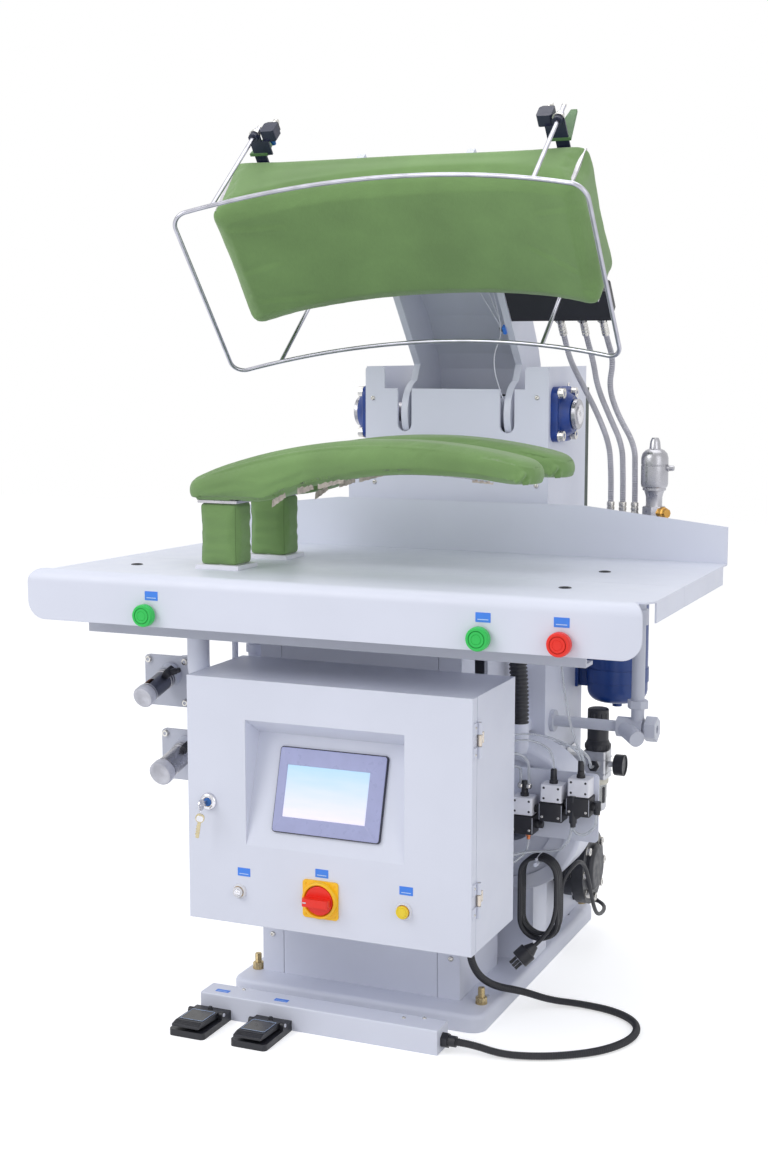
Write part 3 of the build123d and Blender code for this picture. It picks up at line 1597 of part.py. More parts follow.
@node
def make_suction_valves():
    """Butterfly valves: bolted plate, round body with a pipe collar, tilted pneumatic actuator."""
    valves = []
    for x, z, radius in valve_places():
        half, y = valve_plate_size / 2, valve_plate_y
        plate = rounded_block(
            x - half, x + half, y - valve_plate_thickness, y, z - half, z + half, Axis.Y, 8,
        )
        for place in GridLocations(valve_plate_size - 18, valve_plate_size - 18, 2, 2):
            bolt = (x + place.position.X, y - valve_plate_thickness, z + place.position.Y)
            plate += hexagon(bolt, (0, -1, 0), 10, 5)
        body = rod((x, y - 1, z), (x, cross_pipe_y + valve_body_radius, z), valve_body_radius)
        body = fillet(body.edges().sort_by(Axis.Y)[-1], 10)
        collar = rod((x, cross_pipe_y, z), (x + valve_collar, cross_pipe_y, z), cross_pipe_radius + 6)
        tilt = radians(actuator_tilt)
        axis = Vector(-0.06, -cos(tilt), -sin(tilt)).normalized()
        start = Vector(x + 10, y - valve_plate_thickness + 2, z + 16)
        end = start + axis * actuator_length
        actuator = rod(tuple(start), tuple(end), radius)
        actuator += rod(tuple(start), tuple(start + axis * 20), radius + 4)
        actuator += rod(tuple(end - axis * 12), tuple(end + axis * 3), radius + 2)
        valves.append(plate + body + collar + actuator)
    return Compound(valves)


def blower_rim_point(angle):
    """X and Z of a point on the blower's outer front ring."""
    radius = blower_radius * 0.9
    return blower_x + radius * cos(radians(angle)), blower_z + radius * sin(radians(angle))


@node
def make_solenoid_valves():
    """Three valves with upright coils on one bracket, held off the blower by three standoffs."""
    front, sheet = valve_bracket_front, valve_bracket_sheet
    bracket = rounded_block(215, 385, front, front + sheet, 296, 428, Axis.Y, 8)
    for angle in (-5, 20, 46):
        x, z = blower_rim_point(angle)
        bracket += rod((x, front + 1, z), (x, blower_front, z), 6)
    solids = bracket
    for x, z in ((solenoid_first_x, 326), (solenoid_second_x, 356), (solenoid_third_x, 372)):
        half = solenoid_width / 2
        body = rounded_block(
            x - half, x + half, front - solenoid_depth, front + 1, z - solenoid_height / 2,
            z + solenoid_height / 2, Axis.Y, 3,
        )
        y = front - solenoid_depth / 2
        top = z + solenoid_height / 2
        body += rod((x, y, top - 1), (x, y, top + 8), 9)
        body += rounded_block(x - 15, x + 15, y - 15, y + 15, top + 6, top + 34, Axis.Z, 5)
        body += rod((x, y, top + 33), (x, y, top + 40), 7)
        body += rod((x - half - 8, y, z), (x + half + 8, y, z), 7)
        solids += body
    return solids


def service_top():
    return service_z + service_height / 2


@node
def make_filter_regulator():
    """Body with ports, wall bracket, bonnet, gauge stem and the filter bowl hung below."""
    half, z0, z1 = service_size / 2, service_z - service_height / 2, service_top()
    x, y = service_x, service_y
    body = rounded_block(x - half, x + half, y - half, y + half, z0, z1, Axis.Z, 6)
    body += block(tower_right, x - half + 1, y - 14, y + 14, z0 + 14, z1 - 14)
    body += block(tower_right, tower_right + 4, y - 30, y + 30, z0 - 4, z1 + 4)
    body += rod((x, y, z1 - 1), (x, y, z1 + bonnet_height), bonnet_radius)
    body += rod((x, y, z1 + bonnet_height - 1), (x, y, z1 + bonnet_height + knob_height - 8), 6)
    body += rod((x, y - half - 5, service_z), (x, y - half + 1, service_z), port_radius + 5)
    body -= rod((x, y - half - 6, service_z), (x, y - half - 5 + port_depth, service_z), port_radius)
    body += rod((x + half - 1, y, service_z), (gauge_start(), y, service_z), 6)
    bowl = rod((x, y, z0), (x, y, z0 - bowl_length), bowl_radius)
    bowl = fillet(bowl.edges().sort_by(Axis.Z)[0], bowl_radius * 0.6)
    bowl += rod((x, y, z0 - bowl_length + 1), (x, y, z0 - bowl_length - 10), 4)
    ring = rod((x, y, z0), (x, y, z0 - 12), bowl_radius + 3)
    return body + ring + bowl


def gauge_start():
    return service_x + service_size / 2 + 13


@node
def make_air_gauge():
    """Pressure gauge case, open in front, with its centre post."""
    start = gauge_start()
    face = start + gauge_thickness
    case = rod((start, service_y, service_z), (face, service_y, service_z), gauge_radius)
    case = fillet(case.edges().sort_by(Axis.X)[0], 3)
    dial = face - gauge_recess
    case -= rod((dial, service_y, service_z), (face + 1, service_y, service_z), gauge_radius - 3)
    return case + rod((dial - 1, service_y, service_z), (face - 1, service_y, service_z), 1.2)


@node
def make_gauge_needle():
    """Flat pointer with a hub that turns on the gauge's post."""
    x0 = gauge_start() + gauge_thickness - gauge_recess + 1
    hub = rod((x0, service_y, service_z), (x0 + 1.6, service_y, service_z), 3.4)
    low, tip = service_z - 5, service_z + needle_length
    outline = [(service_y - 1.1, low), (service_y + 1.1, low), (service_y, tip)]
    pointer = prism_yz(outline, x0 + 0.3, x0 + 1.1)
    bore = rod((x0 - 1, service_y, service_z), (x0 + 3, service_y, service_z), 1.2 + 0.15)
    return (hub + pointer - bore).rotate(Axis((0, service_y, service_z), (1, 0, 0)), 135)


@node
def make_regulator_knob():
    """Fluted cap that turns over the regulator's spindle."""
    low = service_top() + bonnet_height + running_gap
    high = low + knob_height
    x, y = service_x, service_y
    knob = rod((x, y, low), (x, y, high), knob_radius)
    knob = fillet(knob.edges().sort_by(Axis.Z)[-1], 4)
    flute, middle = Cylinder(3, knob_height * 0.5), low + knob_height * 0.62
    for place in PolarLocations(knob_radius + 1.5, 12):
        knob -= Pos(x + place.position.X, y + place.position.Y, middle) * flute
    return knob - rod((x, y, low - 1), (x, y, high - 6), 6 + running_gap)


@node
def make_steam_trap():
    """Float trap: drum on a boss, bolted round cover facing right, drain port at the front."""
    x, y, z, r = trap_x, trap_y, trap_z, trap_radius
    left, right = tower_right + 12, x + 38
    trap = rod((tower_right, y, z), (left + 1, y, z), 26)
    drum = rod((left, y, z), (right - 24, y, z), r * 0.84)
    trap += fillet(drum.edges().sort_by(Axis.X)[0], 12)
    trap += rod((right - 24, y, z), (right, y, z), r)
    dome = rod((right - 1, y, z), (right + 12, y, z), r * 0.62)
    trap += fillet(dome.edges().sort_by(Axis.X)[-1], 9)
    for place in PolarLocations(r * 0.83, 8):
        bolt = (right, y + place.position.X, z + place.position.Y)
        trap += hexagon(bolt, (1, 0, 0), 14, 7)
    front = y - r - trap_outlet_length
    port_x = (left + right - 24) / 2
    trap += rod((port_x, y - r * 0.5, z), (port_x, front, z), trap_outlet_radius + 6)
    return trap - rod((port_x, front - 1, z), (port_x, front + trap_outlet_length, z), trap_outlet_radius)


@node
def make_air_tank():
    """Air receiver with domed ends, on two brackets on the tower's side."""
    x, y = tank_x, tank_y
    tank = rod((x, y, tank_bottom), (x, y, tank_top), tank_radius)
    tank = fillet(tank.edges().filter_by(GeomType.CIRCLE), 26)
    for z in (tank_bottom + 57, tank_top - 57):
        tank += block(tower_right, x - tank_radius * 0.6, y - 8, y + 16, z - 30, z + 30)
        tank += block(tower_right, tower_right + 6, y - 24, y + 24, z - 30, z + 30)
        band = rod((x, y, z - 14), (x, y, z + 14), tank_radius + 2)
        tank += band
    return tank + rod((x, y, tank_bottom - 12), (x, y, tank_bottom + 1), 10)


def header_port_places():
    return [steam_x - 62, steam_x - 38, steam_x - 14]


@node
def make_steam_pipework():
    """Strainer, riser, the clamp to the tower and the header that feeds the head's hoses."""
    x, y, low = steam_x, steam_y, steam_low_z
    inlet = x + 40
    run = rod((tower_right, y, low), (inlet, y, low), 11)
    run += hexagon((inlet - 22, y, low), (1, 0, 0), 44, 22)
    run += rod((x - 40, y, low), (x + 12, y, low), 20)
    run += rod((x - 30, y, low), (x + 12, y - 48, low - 12), 16)
    run += rod((tower_right, y, low), (tower_right + 8, y, low), 22)
    riser = rod((x, y, low), (x, y, manifold_z), steam_radius)
    for z in (low + 40, manifold_z - 60):
        riser += hexagon((x, y, z), (0, 0, 1), 36, 16)
    header = rod((x - 76, y, manifold_z), (valve_x + 16, y, manifold_z), 15)
    header += rod((valve_x, y, manifold_z), (valve_x, y, manifold_z + valve_seat), 15)
    for port in header_port_places():
        header += hexagon((port, y, manifold_z + 10), (0, 0, 1), 18, 20)
    clamp = block(tower_right, x, y - 3, y + 3, clamp_z - 15, clamp_z + 15)
    clamp += rod((x, y, clamp_z - 15), (x, y, clamp_z + 15), steam_radius + 5)
    clamp += block(tower_right, tower_right + 5, y - 22, y + 22, clamp_z - 25, clamp_z + 25)
    pipework = run + riser + header + clamp
    return pipework - rod((inlet - steam_port_depth, y, low), (inlet + 1, y, low), steam_port_radius)


@node
def make_angle_valve():
    """Angle-seat valve: threaded neck, bonnet, actuator cylinder and cap."""
    x, y, z = valve_x, steam_y, manifold_z + valve_seat
    valve = hexagon((x, y, z), (0, 0, 1), 40, 26)
    valve += rod((x, y, z + 20), (x, y, z + 64), 18)
    body = rod((x, y, z + 60), (x, y, z + 132), 26)
    valve += fillet(body.edges().filter_by(GeomType.CIRCLE), 6)
    valve += rod((x, y, z + 130), (x, y, z + 158), 11)
    valve += rod((x, y, z + 100), (x + 38, y, z + 100), 6)
    return valve


def coil_path():
    """Rounded loops side by side: straight sides, and half turns that step to the next loop."""
    radius = coil_width / 2 - cord_radius
    step = coil_pitch / 2
    left, right = coil_x - radius, coil_x + radius
    top, bottom = coil_z + coil_height / 2 - coil_width / 2, coil_z - coil_height / 2 + coil_width / 2
    y = coil_front + cord_radius + coil_loops * coil_pitch
    edges = [Line((right, y, coil_z - 13), (right, y, bottom))]
    here = Vector(right, y, bottom)
    for turn in range(2 * coil_loops):
        down = turn % 2 == 0
        drop = coil_droops[turn // 2]
        other = left if down else right
        level = bottom - drop if down else top
        start = Vector(here.X, here.Y, level)
        if (start - here).length > 0.1:
            edges.append(Line(here, start))
        end = Vector(other, here.Y - step, level)
        crest = Vector(coil_x, here.Y - step / 2, level + (-radius if down else radius))
        edges.append(ThreePointArc(start, crest, end))
        here = end
    edges.append(Line(here, Vector(here.X, here.Y, coil_z + 12)))
    return Wire(edges)


def self_gap(path, radius, samples=700, skip=40):
    """Least clear distance of a wound tube to itself, measured on points."""
    points = [path @ (i / samples) for i in range(samples + 1)]
    reach = 3 * 3.1416 * radius
    spacing = path.length / samples
    least = 1000.0
    for i, first in enumerate(points):
        for second in points[i + max(skip, int(reach / spacing)):]:
            least = min(least, (first - second).length)
    return least - 2 * radius


@node
def make_power_cord_coil():
    path = coil_path()
    gap = round(self_gap(path, cord_radius), 2)
    print("power_cord_coil least gap to itself", gap, "length", round(path.length))
    return sweep(Plane(origin=path @ 0, z_dir=path % 0) * Circle(cord_radius), path=path)


@node
def make_power_cord_lead():
    """The lead from the tower's gland to the coil, and the tail from the coil to the plug."""
    path = coil_path()
    into, out_of = path @ 0, path @ 1
    lead = bent_tube([
        (tower_right + 12, 290, 66), (tower_right + 45, 288, 62), (300, 268, 58), (310, 236, 58),
        (314, 196, 62), (318, 152, 76), (323, 112, 104), (327, 76, 142), (329, 50, 180), (329, 24, 214),
        (328, -10, 235), (322, -44, 230), (into.X, into.Y, into.Z + 40), tuple(into),
    ], cord_radius, "power cord lead")
    bend, seat = plug_run()
    tail = bent_tube([
        tuple(out_of), (out_of.X, out_of.Y, out_of.Z - 34), bend, seat,
    ], cord_radius, "power cord tail")
    gland_part = hexagon((tower_right, 290, 66), (1, 0, 0), 20, 12)
    return Compound([lead, tail, gland_part])


def plug_run():
    """The tail's last run, which ends where the cord enters the plug."""
    return (coil_x + 29, coil_front - 8, 120), (coil_x + 6, coil_front - 24, 96)


@node
def make_power_plug():
    """Round moulded plug with three blades, hanging on the cord's end."""
    bend, seat = (Vector(*point) for point in plug_run())
    way = (seat - bend).normalized()
    grip = Plane(origin=seat, z_dir=way) * Cone(
        cord_radius + 3, plug_radius * 0.8, 18, align=(Align.CENTER, Align.CENTER, Align.MIN),
    )
    plane = Plane(origin=seat + way * 17, z_dir=way)
    body = plane * Cylinder(plug_radius, 24, align=(Align.CENTER, Align.CENTER, Align.MIN))
    plug = grip + fillet(body.edges().filter_by(GeomType.CIRCLE), 2)
    plane = Plane(origin=seat + way * 40, z_dir=way)
    for x, y in ((-7, 5), (7, 5), (0, -7)):
        plug += plane * Pos(x, y) * Box(6, 2, 18, align=(Align.CENTER, Align.CENTER, Align.MIN))
    return plug


@node
def make_steam_hoses():
    """Three free hoses from the head's manifold down to the header, drawn with the head open."""
    hoses = []
    top = manifold_z + 30
    swing = radians(-opening_angle)
    y, z = manifold_back + fitting_length - shaft_y, hose_fitting_z() - shaft_z
    start_y = shaft_y + y * cos(swing) - z * sin(swing)
    start_z = shaft_z + y * sin(swing) + z * cos(swing)
    exit_y, exit_z = cos(swing), sin(swing)
    for start_x, end_x, sway in zip(hose_starts, header_port_places(), (-10, 2, 12)):
        hoses.append(bent_tube([
            (start_x, start_y, start_z), (start_x, start_y + 30 * exit_y, start_z + 30 * exit_z),
            (start_x + 10, start_y + 30 + sway / 2, start_z - 66), (300 + 2 * sway, 140 + sway, 1146),
            (326 + 1.5 * sway, 136 + sway, 1092), (end_x - 6, 128 + sway / 2, 1034),
            (end_x - 2, steam_y + 4, 985), (end_x, steam_y, top + 40), (end_x, steam_y, top),
        ], hose_radius, "steam hose"))
    return Compound(hoses)


if __name__ == "__main__":
    os.makedirs("parts", exist_ok=True)
    for name, make in NODES.items():
        export_step(make(), f"parts/{name}.step")
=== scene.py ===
from math import cos, hypot, pi, radians, sin, sqrt

import bmesh
import bpy
import numpy as np
from mathutils import Matrix, Vector
from mathutils.bvhtree import BVHTree
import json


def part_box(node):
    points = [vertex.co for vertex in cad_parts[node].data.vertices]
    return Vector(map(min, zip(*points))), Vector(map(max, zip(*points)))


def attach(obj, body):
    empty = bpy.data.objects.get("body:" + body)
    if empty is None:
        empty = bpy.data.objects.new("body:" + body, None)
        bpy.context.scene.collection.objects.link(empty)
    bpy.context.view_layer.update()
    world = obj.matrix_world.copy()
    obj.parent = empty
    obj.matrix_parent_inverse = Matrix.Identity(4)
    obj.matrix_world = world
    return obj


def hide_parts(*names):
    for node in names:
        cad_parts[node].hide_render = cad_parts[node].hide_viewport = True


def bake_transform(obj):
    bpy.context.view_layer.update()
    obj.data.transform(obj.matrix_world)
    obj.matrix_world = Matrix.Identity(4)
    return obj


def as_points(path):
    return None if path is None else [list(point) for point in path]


# Sleeve seam pressing machine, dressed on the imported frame. Metres, in the frame of the CAD.
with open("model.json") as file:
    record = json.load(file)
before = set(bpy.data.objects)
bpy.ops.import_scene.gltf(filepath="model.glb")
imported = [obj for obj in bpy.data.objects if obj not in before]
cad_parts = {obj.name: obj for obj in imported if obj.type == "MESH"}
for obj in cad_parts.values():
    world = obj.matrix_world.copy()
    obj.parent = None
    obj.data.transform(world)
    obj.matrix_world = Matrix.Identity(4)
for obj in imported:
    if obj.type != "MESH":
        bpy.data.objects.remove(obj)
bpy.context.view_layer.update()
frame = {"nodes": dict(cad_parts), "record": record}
nodes = frame["nodes"]
scene = bpy.context.scene


# Colours and finishes
def shade(red, green, blue):
    """A colour as a picture shows it, 0 to 255, in the linear values that shaders take."""
    def linear(value):
        value /= 255
        return value / 12.92 if value <= 0.04045 else ((value + 0.055) / 1.055) ** 2.4
    return linear(red), linear(green), linear(blue), 1.0


def scaled(colour, factor):
    return tuple(min(1.0, part * factor) for part in colour[:3]) + (1.0,)


class Finish:
    """A procedural material: the shader's own values, and short calls for the nodes that feed it."""

    def __init__(self, name, colour, roughness, **values):
        self.material = bpy.data.materials.new(name)
        self.material.use_nodes = True
        self.material.diffuse_color = colour
        tree = self.material.node_tree
        self.nodes, self.links = tree.nodes, tree.links
        self.shader = self.nodes["Principled BSDF"]
        self.colour = colour
        self.shader.inputs["Base Color"].default_value = colour
        self.shader.inputs["Roughness"].default_value = roughness
        for key, value in values.items():
            self.shader.inputs[key.replace("_", " ").title().replace("Ior", "IOR")].default_value = value
        self.place = self.nodes.new("ShaderNodeTexCoord").outputs["Object"]
        self.normal = None

    def put(self, kind, *feeds, **settings):
        """Add a node; feeds go to its inputs in order, as links or as numbers."""
        node = self.nodes.new("ShaderNode" + kind)
        for key, value in settings.items():
            setattr(node, key, value)
        for socket, feed in zip(node.inputs, feeds):
            if isinstance(feed, bpy.types.NodeSocket):
                self.links.new(feed, socket)
            elif feed is not None:
                socket.default_value = feed
        return node

    def maths(self, operation, first, second=None):
        return self.put("Math", first, second, operation=operation).outputs[0]

    def axes(self):
        split = self.put("SeparateXYZ", self.place)
        return split.outputs[0], split.outputs[1], split.outputs[2]

    def grain(self, scale, detail=2.0, stretch=(1.0, 1.0, 1.0)):
        """Noise in the object's own space; stretch draws it out along an axis."""
        mapping = self.put("Mapping", self.place)
        mapping.inputs["Scale"].default_value = stretch
        made = self.put("TexNoise")
        self.links.new(mapping.outputs[0], made.inputs["Vector"])
        made.inputs["Scale"].default_value = scale
        made.inputs["Detail"].default_value = detail
        return made.outputs[0]

    def tint(self, share, low, high, start=0.35, end=0.65):
        """Base colour between two factors of the finish's own, or two whole colours."""
        ramp = self.put("ValToRGB", share)
        ends = [scaled(self.colour, c) if isinstance(c, float) else c for c in (low, high)]
        for stop, place, colour in zip(ramp.color_ramp.elements, (start, end), ends):
            stop.position = place
            stop.color = colour
        self.links.new(ramp.outputs[0], self.shader.inputs["Base Color"])
        return self

    def rough(self, share, low, high):
        spread = self.put("MapRange", share, 0.3, 0.7, low, high)
        self.links.new(spread.outputs[0], self.shader.inputs["Roughness"])
        return self

    def bump(self, height, depth, strength=1.0):
        """Relief of a depth in metres, on top of what is there."""
        made = self.put("Bump")
        made.inputs["Strength"].default_value = strength
        made.inputs["Distance"].default_value = depth
        self.links.new(height, made.inputs["Height"])
        if self.normal is not None:
            self.links.new(self.normal, made.inputs["Normal"])
        self.normal = made.outputs[0]
        self.links.new(self.normal, self.shader.inputs["Normal"])
        return self

    def soft_edges(self, radius):
        """Edges that catch the light as a small radius does."""
        made = self.put("Bevel", radius, samples=4)
        self.normal = made.outputs[0]
        self.links.new(self.normal, self.shader.inputs["Normal"])
        return self


def powder_coat(name, colour, roughness=0.42):
    """Sprayed and baked paint: orange peel, cloudy tone, softened folds."""
    finish = Finish(name, colour, roughness)
    finish.soft_edges(0.0014)
    finish.tint(finish.grain(5.0, 3.0), 0.965, 1.0)
    finish.rough(finish.grain(30.0, 2.0), roughness - 0.05, roughness + 0.08)
    return finish.bump(finish.grain(700.0, 1.0), 0.00006, 0.7)


def metal(name, colour, roughness, stretch=(1.0, 1.0, 1.0), depth=0.00003, edge=0.0006):
    """Bare metal with brush marks, faint stains and softened edges."""
    finish = Finish(name, colour, roughness, metallic=1.0)
    finish.soft_edges(edge)
    finish.tint(finish.grain(24.0, 3.0), 0.86, 1.05)
    finish.rough(finish.grain(160.0, 3.0, stretch), roughness - 0.07, roughness + 0.1)
    return finish.bump(finish.grain(420.0, 2.0, stretch), depth, 0.6)


def plastic(name, colour, roughness, depth=0.00004, edge=0.0006, coat=0.0):
    """Moulded plastic with a fine spark-eroded grain."""
    finish = Finish(name, colour, roughness, coat_weight=coat)
    finish.soft_edges(edge)
    finish.tint(finish.grain(40.0, 2.0), 0.965, 1.02)
    finish.rough(finish.grain(90.0, 2.0), roughness - 0.04, roughness + 0.06)
    return finish.bump(finish.grain(1500.0, 1.0), depth, 0.5)


def casting(name, colour, roughness, depth=0.0003):
    """Painted iron that shows the sand of its mould."""
    finish = Finish(name, colour, roughness)
    finish.soft_edges(0.0012)
    finish.tint(finish.grain(35.0, 4.0), 0.8, 1.15)
    finish.rough(finish.grain(70.0, 3.0), roughness - 0.08, roughness + 0.12)
    finish.bump(finish.grain(160.0, 3.0), depth, 0.7)
    return finish.bump(finish.grain(900.0, 1.0), 0.00008, 0.6)


def cloth(name, colour, tilt=0.0, pitch=0.0011):
    """Plain weave seen along each axis in turn, with slubs, a cloudy tone and a soft sheen."""
    finish = Finish(name, colour, 0.86, sheen_weight=0.25, sheen_roughness=0.5)
    turned = finish.put("Mapping", finish.place)
    turned.inputs["Rotation"].default_value = (tilt, 0.0, 0.0)
    facing = finish.put("Mapping", finish.nodes["Texture Coordinate"].outputs["Normal"])
    facing.inputs["Rotation"].default_value = (tilt, 0.0, 0.0)
    finish.place = turned.outputs[0]
    threads = [finish.maths("SINE", finish.maths("MULTIPLY", axis, pi / pitch)) for axis in finish.axes()]
    split = finish.put("SeparateXYZ", facing.outputs[0])
    weights = [finish.maths("ABSOLUTE", split.outputs[i]) for i in range(3)]
    height = None
    for side, (warp, weft) in zip(weights, ((1, 2), (0, 2), (0, 1))):
        crossed = finish.maths("MULTIPLY", threads[warp], threads[weft])
        part = finish.maths("MULTIPLY", crossed, side)
        height = part if height is None else finish.maths("ADD", height, part)
    slubs = finish.grain(900.0, 2.0, (1.0, 0.12, 1.0))
    cloudy = finish.maths("ADD", finish.maths("MULTIPLY", finish.grain(7.0, 4.0), 0.75),
                          finish.maths("MULTIPLY", slubs, 0.25))
    finish.tint(cloudy, 0.86, 1.1, 0.36, 0.64)
    finish.bump(finish.grain(60.0, 3.0), 0.0006, 0.5)
    finish.bump(slubs, 0.0001, 0.6)
    return finish.bump(height, 0.00016, 0.8)


body_grey = shade(222, 225, 238)
cloth_green = shade(118, 152, 92)
head_turn = radians(50)

finishes = {
    "body_paint": powder_coat("body_powder_coat", body_grey),
    "frame_steel": powder_coat("frame_powder_coat", shade(196, 199, 211), 0.4),
    "white_paint": powder_coat("white_paint", shade(232, 232, 240), 0.36),
    "stainless": metal("stainless_steel", shade(196, 194, 200), 0.3),
    "dark_cover": powder_coat("dark_cover", shade(38, 56, 50), 0.5),
    "bearing_blue": casting("bearing_blue", shade(24, 62, 142), 0.36),
    "tank_blue": powder_coat("tank_blue", shade(16, 58, 128), 0.34),
    "green_cloth": cloth("green_cloth", cloth_green),
    "bracket_green": powder_coat("bracket_green", shade(84, 122, 76), 0.5),
    "black_plastic": plastic("black_plastic", shade(34, 35, 42), 0.42),
    "valve_plastic": plastic("valve_plastic", shade(32, 32, 38), 0.45),
    "regulator_alloy": metal("regulator_alloy", shade(196, 197, 202), 0.42, depth=0.00006),
    "black_rubber": plastic("black_rubber", shade(30, 31, 38), 0.5, 0.00003),
    "braided_hose": metal("braided_hose", shade(176, 176, 186), 0.36),
    "cylinder_alloy": metal("cylinder_alloy", shade(176, 178, 184), 0.38, (1.0, 1.0, 0.1)),
    "hinge_steel": metal("hinge_steel", shade(206, 196, 184), 0.26),
    "grey_plastic": plastic("grey_plastic", shade(158, 162, 168), 0.5),
    "yellow_plastic": plastic("yellow_plastic", shade(254, 196, 28), 0.34),
    "key_steel": metal("key_steel", shade(206, 206, 212), 0.22),
    "red_plastic": plastic("red_plastic", shade(240, 42, 24), 0.34),
    "white_plastic": plastic("white_plastic", shade(222, 222, 226), 0.36),
    "green_plastic": plastic("green_plastic", shade(40, 196, 84), 0.32),
    "needle_paint": plastic("needle_paint", shade(190, 30, 24), 0.5),
}
head_cloth = cloth("head_cloth", cloth_green, head_turn)
seam_thread = plastic("seam_thread", shade(88, 118, 68), 0.8, 0.0001)
zinc = metal("zinc_plate", shade(206, 204, 200), 0.22, edge=0.0005)
brass = metal("brass", shade(206, 158, 84), 0.28)
label_blue = plastic("label_blue", shade(66, 134, 236), 0.4)
label_white = plastic("label_print", shade(190, 214, 250), 0.45)
panel_bezel = plastic("panel_bezel", shade(166, 170, 208), 0.3)
panel_edge = plastic("panel_edge", shade(36, 38, 58), 0.4)
clear_tube = Finish("clear_tube", shade(226, 230, 236), 0.16, transmission_weight=0.55, alpha=1.0)
clear_tube.tint(clear_tube.grain(60.0), 0.92, 1.0)
clear_bowl = Finish("clear_bowl", shade(226, 228, 224), 0.1, transmission_weight=0.75)
clear_bowl.tint(clear_bowl.grain(30.0), 0.94, 1.0)
white_cable = plastic("white_cable", shade(214, 216, 226), 0.4)
tape = Finish("cotton_tape", shade(222, 212, 204), 0.85, sheen_weight=0.2)
tape.tint(tape.grain(120.0, 3.0), 0.8, 1.05)
tape.bump(tape.grain(700.0, 2.0, (1.0, 1.0, 0.2)), 0.0002)
orange = plastic("orange_sticker", shade(214, 120, 60), 0.5)
blue_cap = plastic("blue_cap", shade(30, 96, 170), 0.3)
yellow_lens = plastic("yellow_lens", shade(238, 208, 26), 0.3, coat=0.3)
gloss_black = plastic("gloss_black", shade(26, 27, 34), 0.22, 0.00002)
coil_white = plastic("coil_white", shade(240, 240, 246), 0.42)
cast_white = casting("cast_white", shade(206, 206, 214), 0.5, 0.0002)
cast_black = casting("cast_black", shade(34, 36, 44), 0.42)
bowl_cream = plastic("bowl_cream", shade(226, 222, 206), 0.4)
chrome = metal("chrome", shade(214, 214, 220), 0.12, depth=0.00001, edge=0.0004)
satin_steel = metal("satin_steel", shade(178, 178, 184), 0.3)
dark_steel = metal("dark_steel", shade(104, 106, 116), 0.34)
key_metal = metal("key_metal", shade(196, 184, 150), 0.26)
copper = metal("copper", shade(196, 120, 82), 0.3)
passivated = metal("passivated_zinc", shade(190, 172, 132), 0.28)
guard_dark = plastic("guard_dark", shade(28, 34, 60), 0.4)
guard_wire = Finish("guard_wire", shade(186, 186, 196), 0.28, metallic=1.0)
guard_wire.tint(guard_wire.grain(30.0), 0.85, 1.05)


def screen_finish():
    """A lit blank screen: pale cyan above, near white below, with faint level bands."""
    finish = Finish("panel_screen", shade(206, 226, 240), 0.16)
    _, _, height = finish.axes()
    share = finish.put("MapRange", height, 0.392, 0.505, 0.0, 1.0).outputs[0]
    bands = finish.grain(26.0, 3.0, (0.5, 1.0, 3.0))
    mixed = finish.maths("ADD", share, finish.maths("MULTIPLY", bands, 0.25))
    finish.tint(mixed, shade(238, 232, 246), shade(182, 216, 240), 0.25, 1.0)
    ramp = finish.shader.inputs["Base Color"].links[0].from_socket
    finish.links.new(ramp, finish.shader.inputs["Emission Color"])
    finish.shader.inputs["Emission Strength"].default_value = 0.22
    return finish


def braid_finish():
    """Steel braid: crossed strands that follow the tube's own length and girth."""
    finish = finishes["braided_hose"]
    split = finish.put("SeparateXYZ", finish.nodes["Texture Coordinate"].outputs["UV"])
    girth = finish.maths("MULTIPLY", split.outputs[0], 12.0)
    along = finish.maths("MULTIPLY", split.outputs[1], 1 / 0.009)
    strands = []
    for turn in ("ADD", "SUBTRACT"):
        phase = finish.maths(turn, girth, along)
        strands.append(finish.maths("SINE", finish.maths("MULTIPLY", phase, 2 * pi)))
    return finish.bump(finish.maths("MULTIPLY", strands[0], strands[1]), 0.0005, 1.0)


screen = screen_finish()
braid_finish()

own_finishes = {
    "guard_loop": guard_wire, "guard_brackets": guard_dark, "levelling_bolts": passivated,
    "steam_trap": cast_black, "solenoid_valves": finishes["body_paint"],
}
for part in frame["record"]["subparts"]:
    for holder in nodes[part["node"]].material_slots:
        holder.material = own_finishes.get(part["node"], finishes[part["material_slot"]]).material


# Mesh kit
def mm(x, y, z):
    return Vector((x, y, z)) / 1000


def square_to(direction):
    """Two unit vectors square to a direction and to each other."""
    way = Vector(direction).normalized()
    side = way.cross(Vector((0, 0, 1)) if abs(way.z) < 0.9 else Vector((1, 0, 0))).normalized()
    return side, way.cross(side).normalized(), way


def circle(centre, radius, side, other, count):
    """Points round a centre, in the plane of two unit vectors."""
    turns = [2 * pi * i / count for i in range(count)]
    return [centre + radius * (cos(turn) * side + sin(turn) * other) for turn in turns]


def round_rectangle(width, height, corner, reach, steps):
    """Points round a rectangle: corner is how far the arcs' centres lie inside it, reach the arcs' radius."""
    points = []
    for quarter, (across, along) in enumerate(((1, 1), (-1, 1), (-1, -1), (1, -1))):
        for step in range(steps + 1):
            angle = quarter * pi / 2 + step * pi / (2 * steps)
            x = (width / 2 - corner) * across + reach * cos(angle)
            y = (height / 2 - corner) * along + reach * sin(angle)
            points.append((x, y))
    return points


def linked(name, data):
    """A new object of the scene."""
    made = bpy.data.objects.new(name, data)
    scene.collection.objects.link(made)
    return made


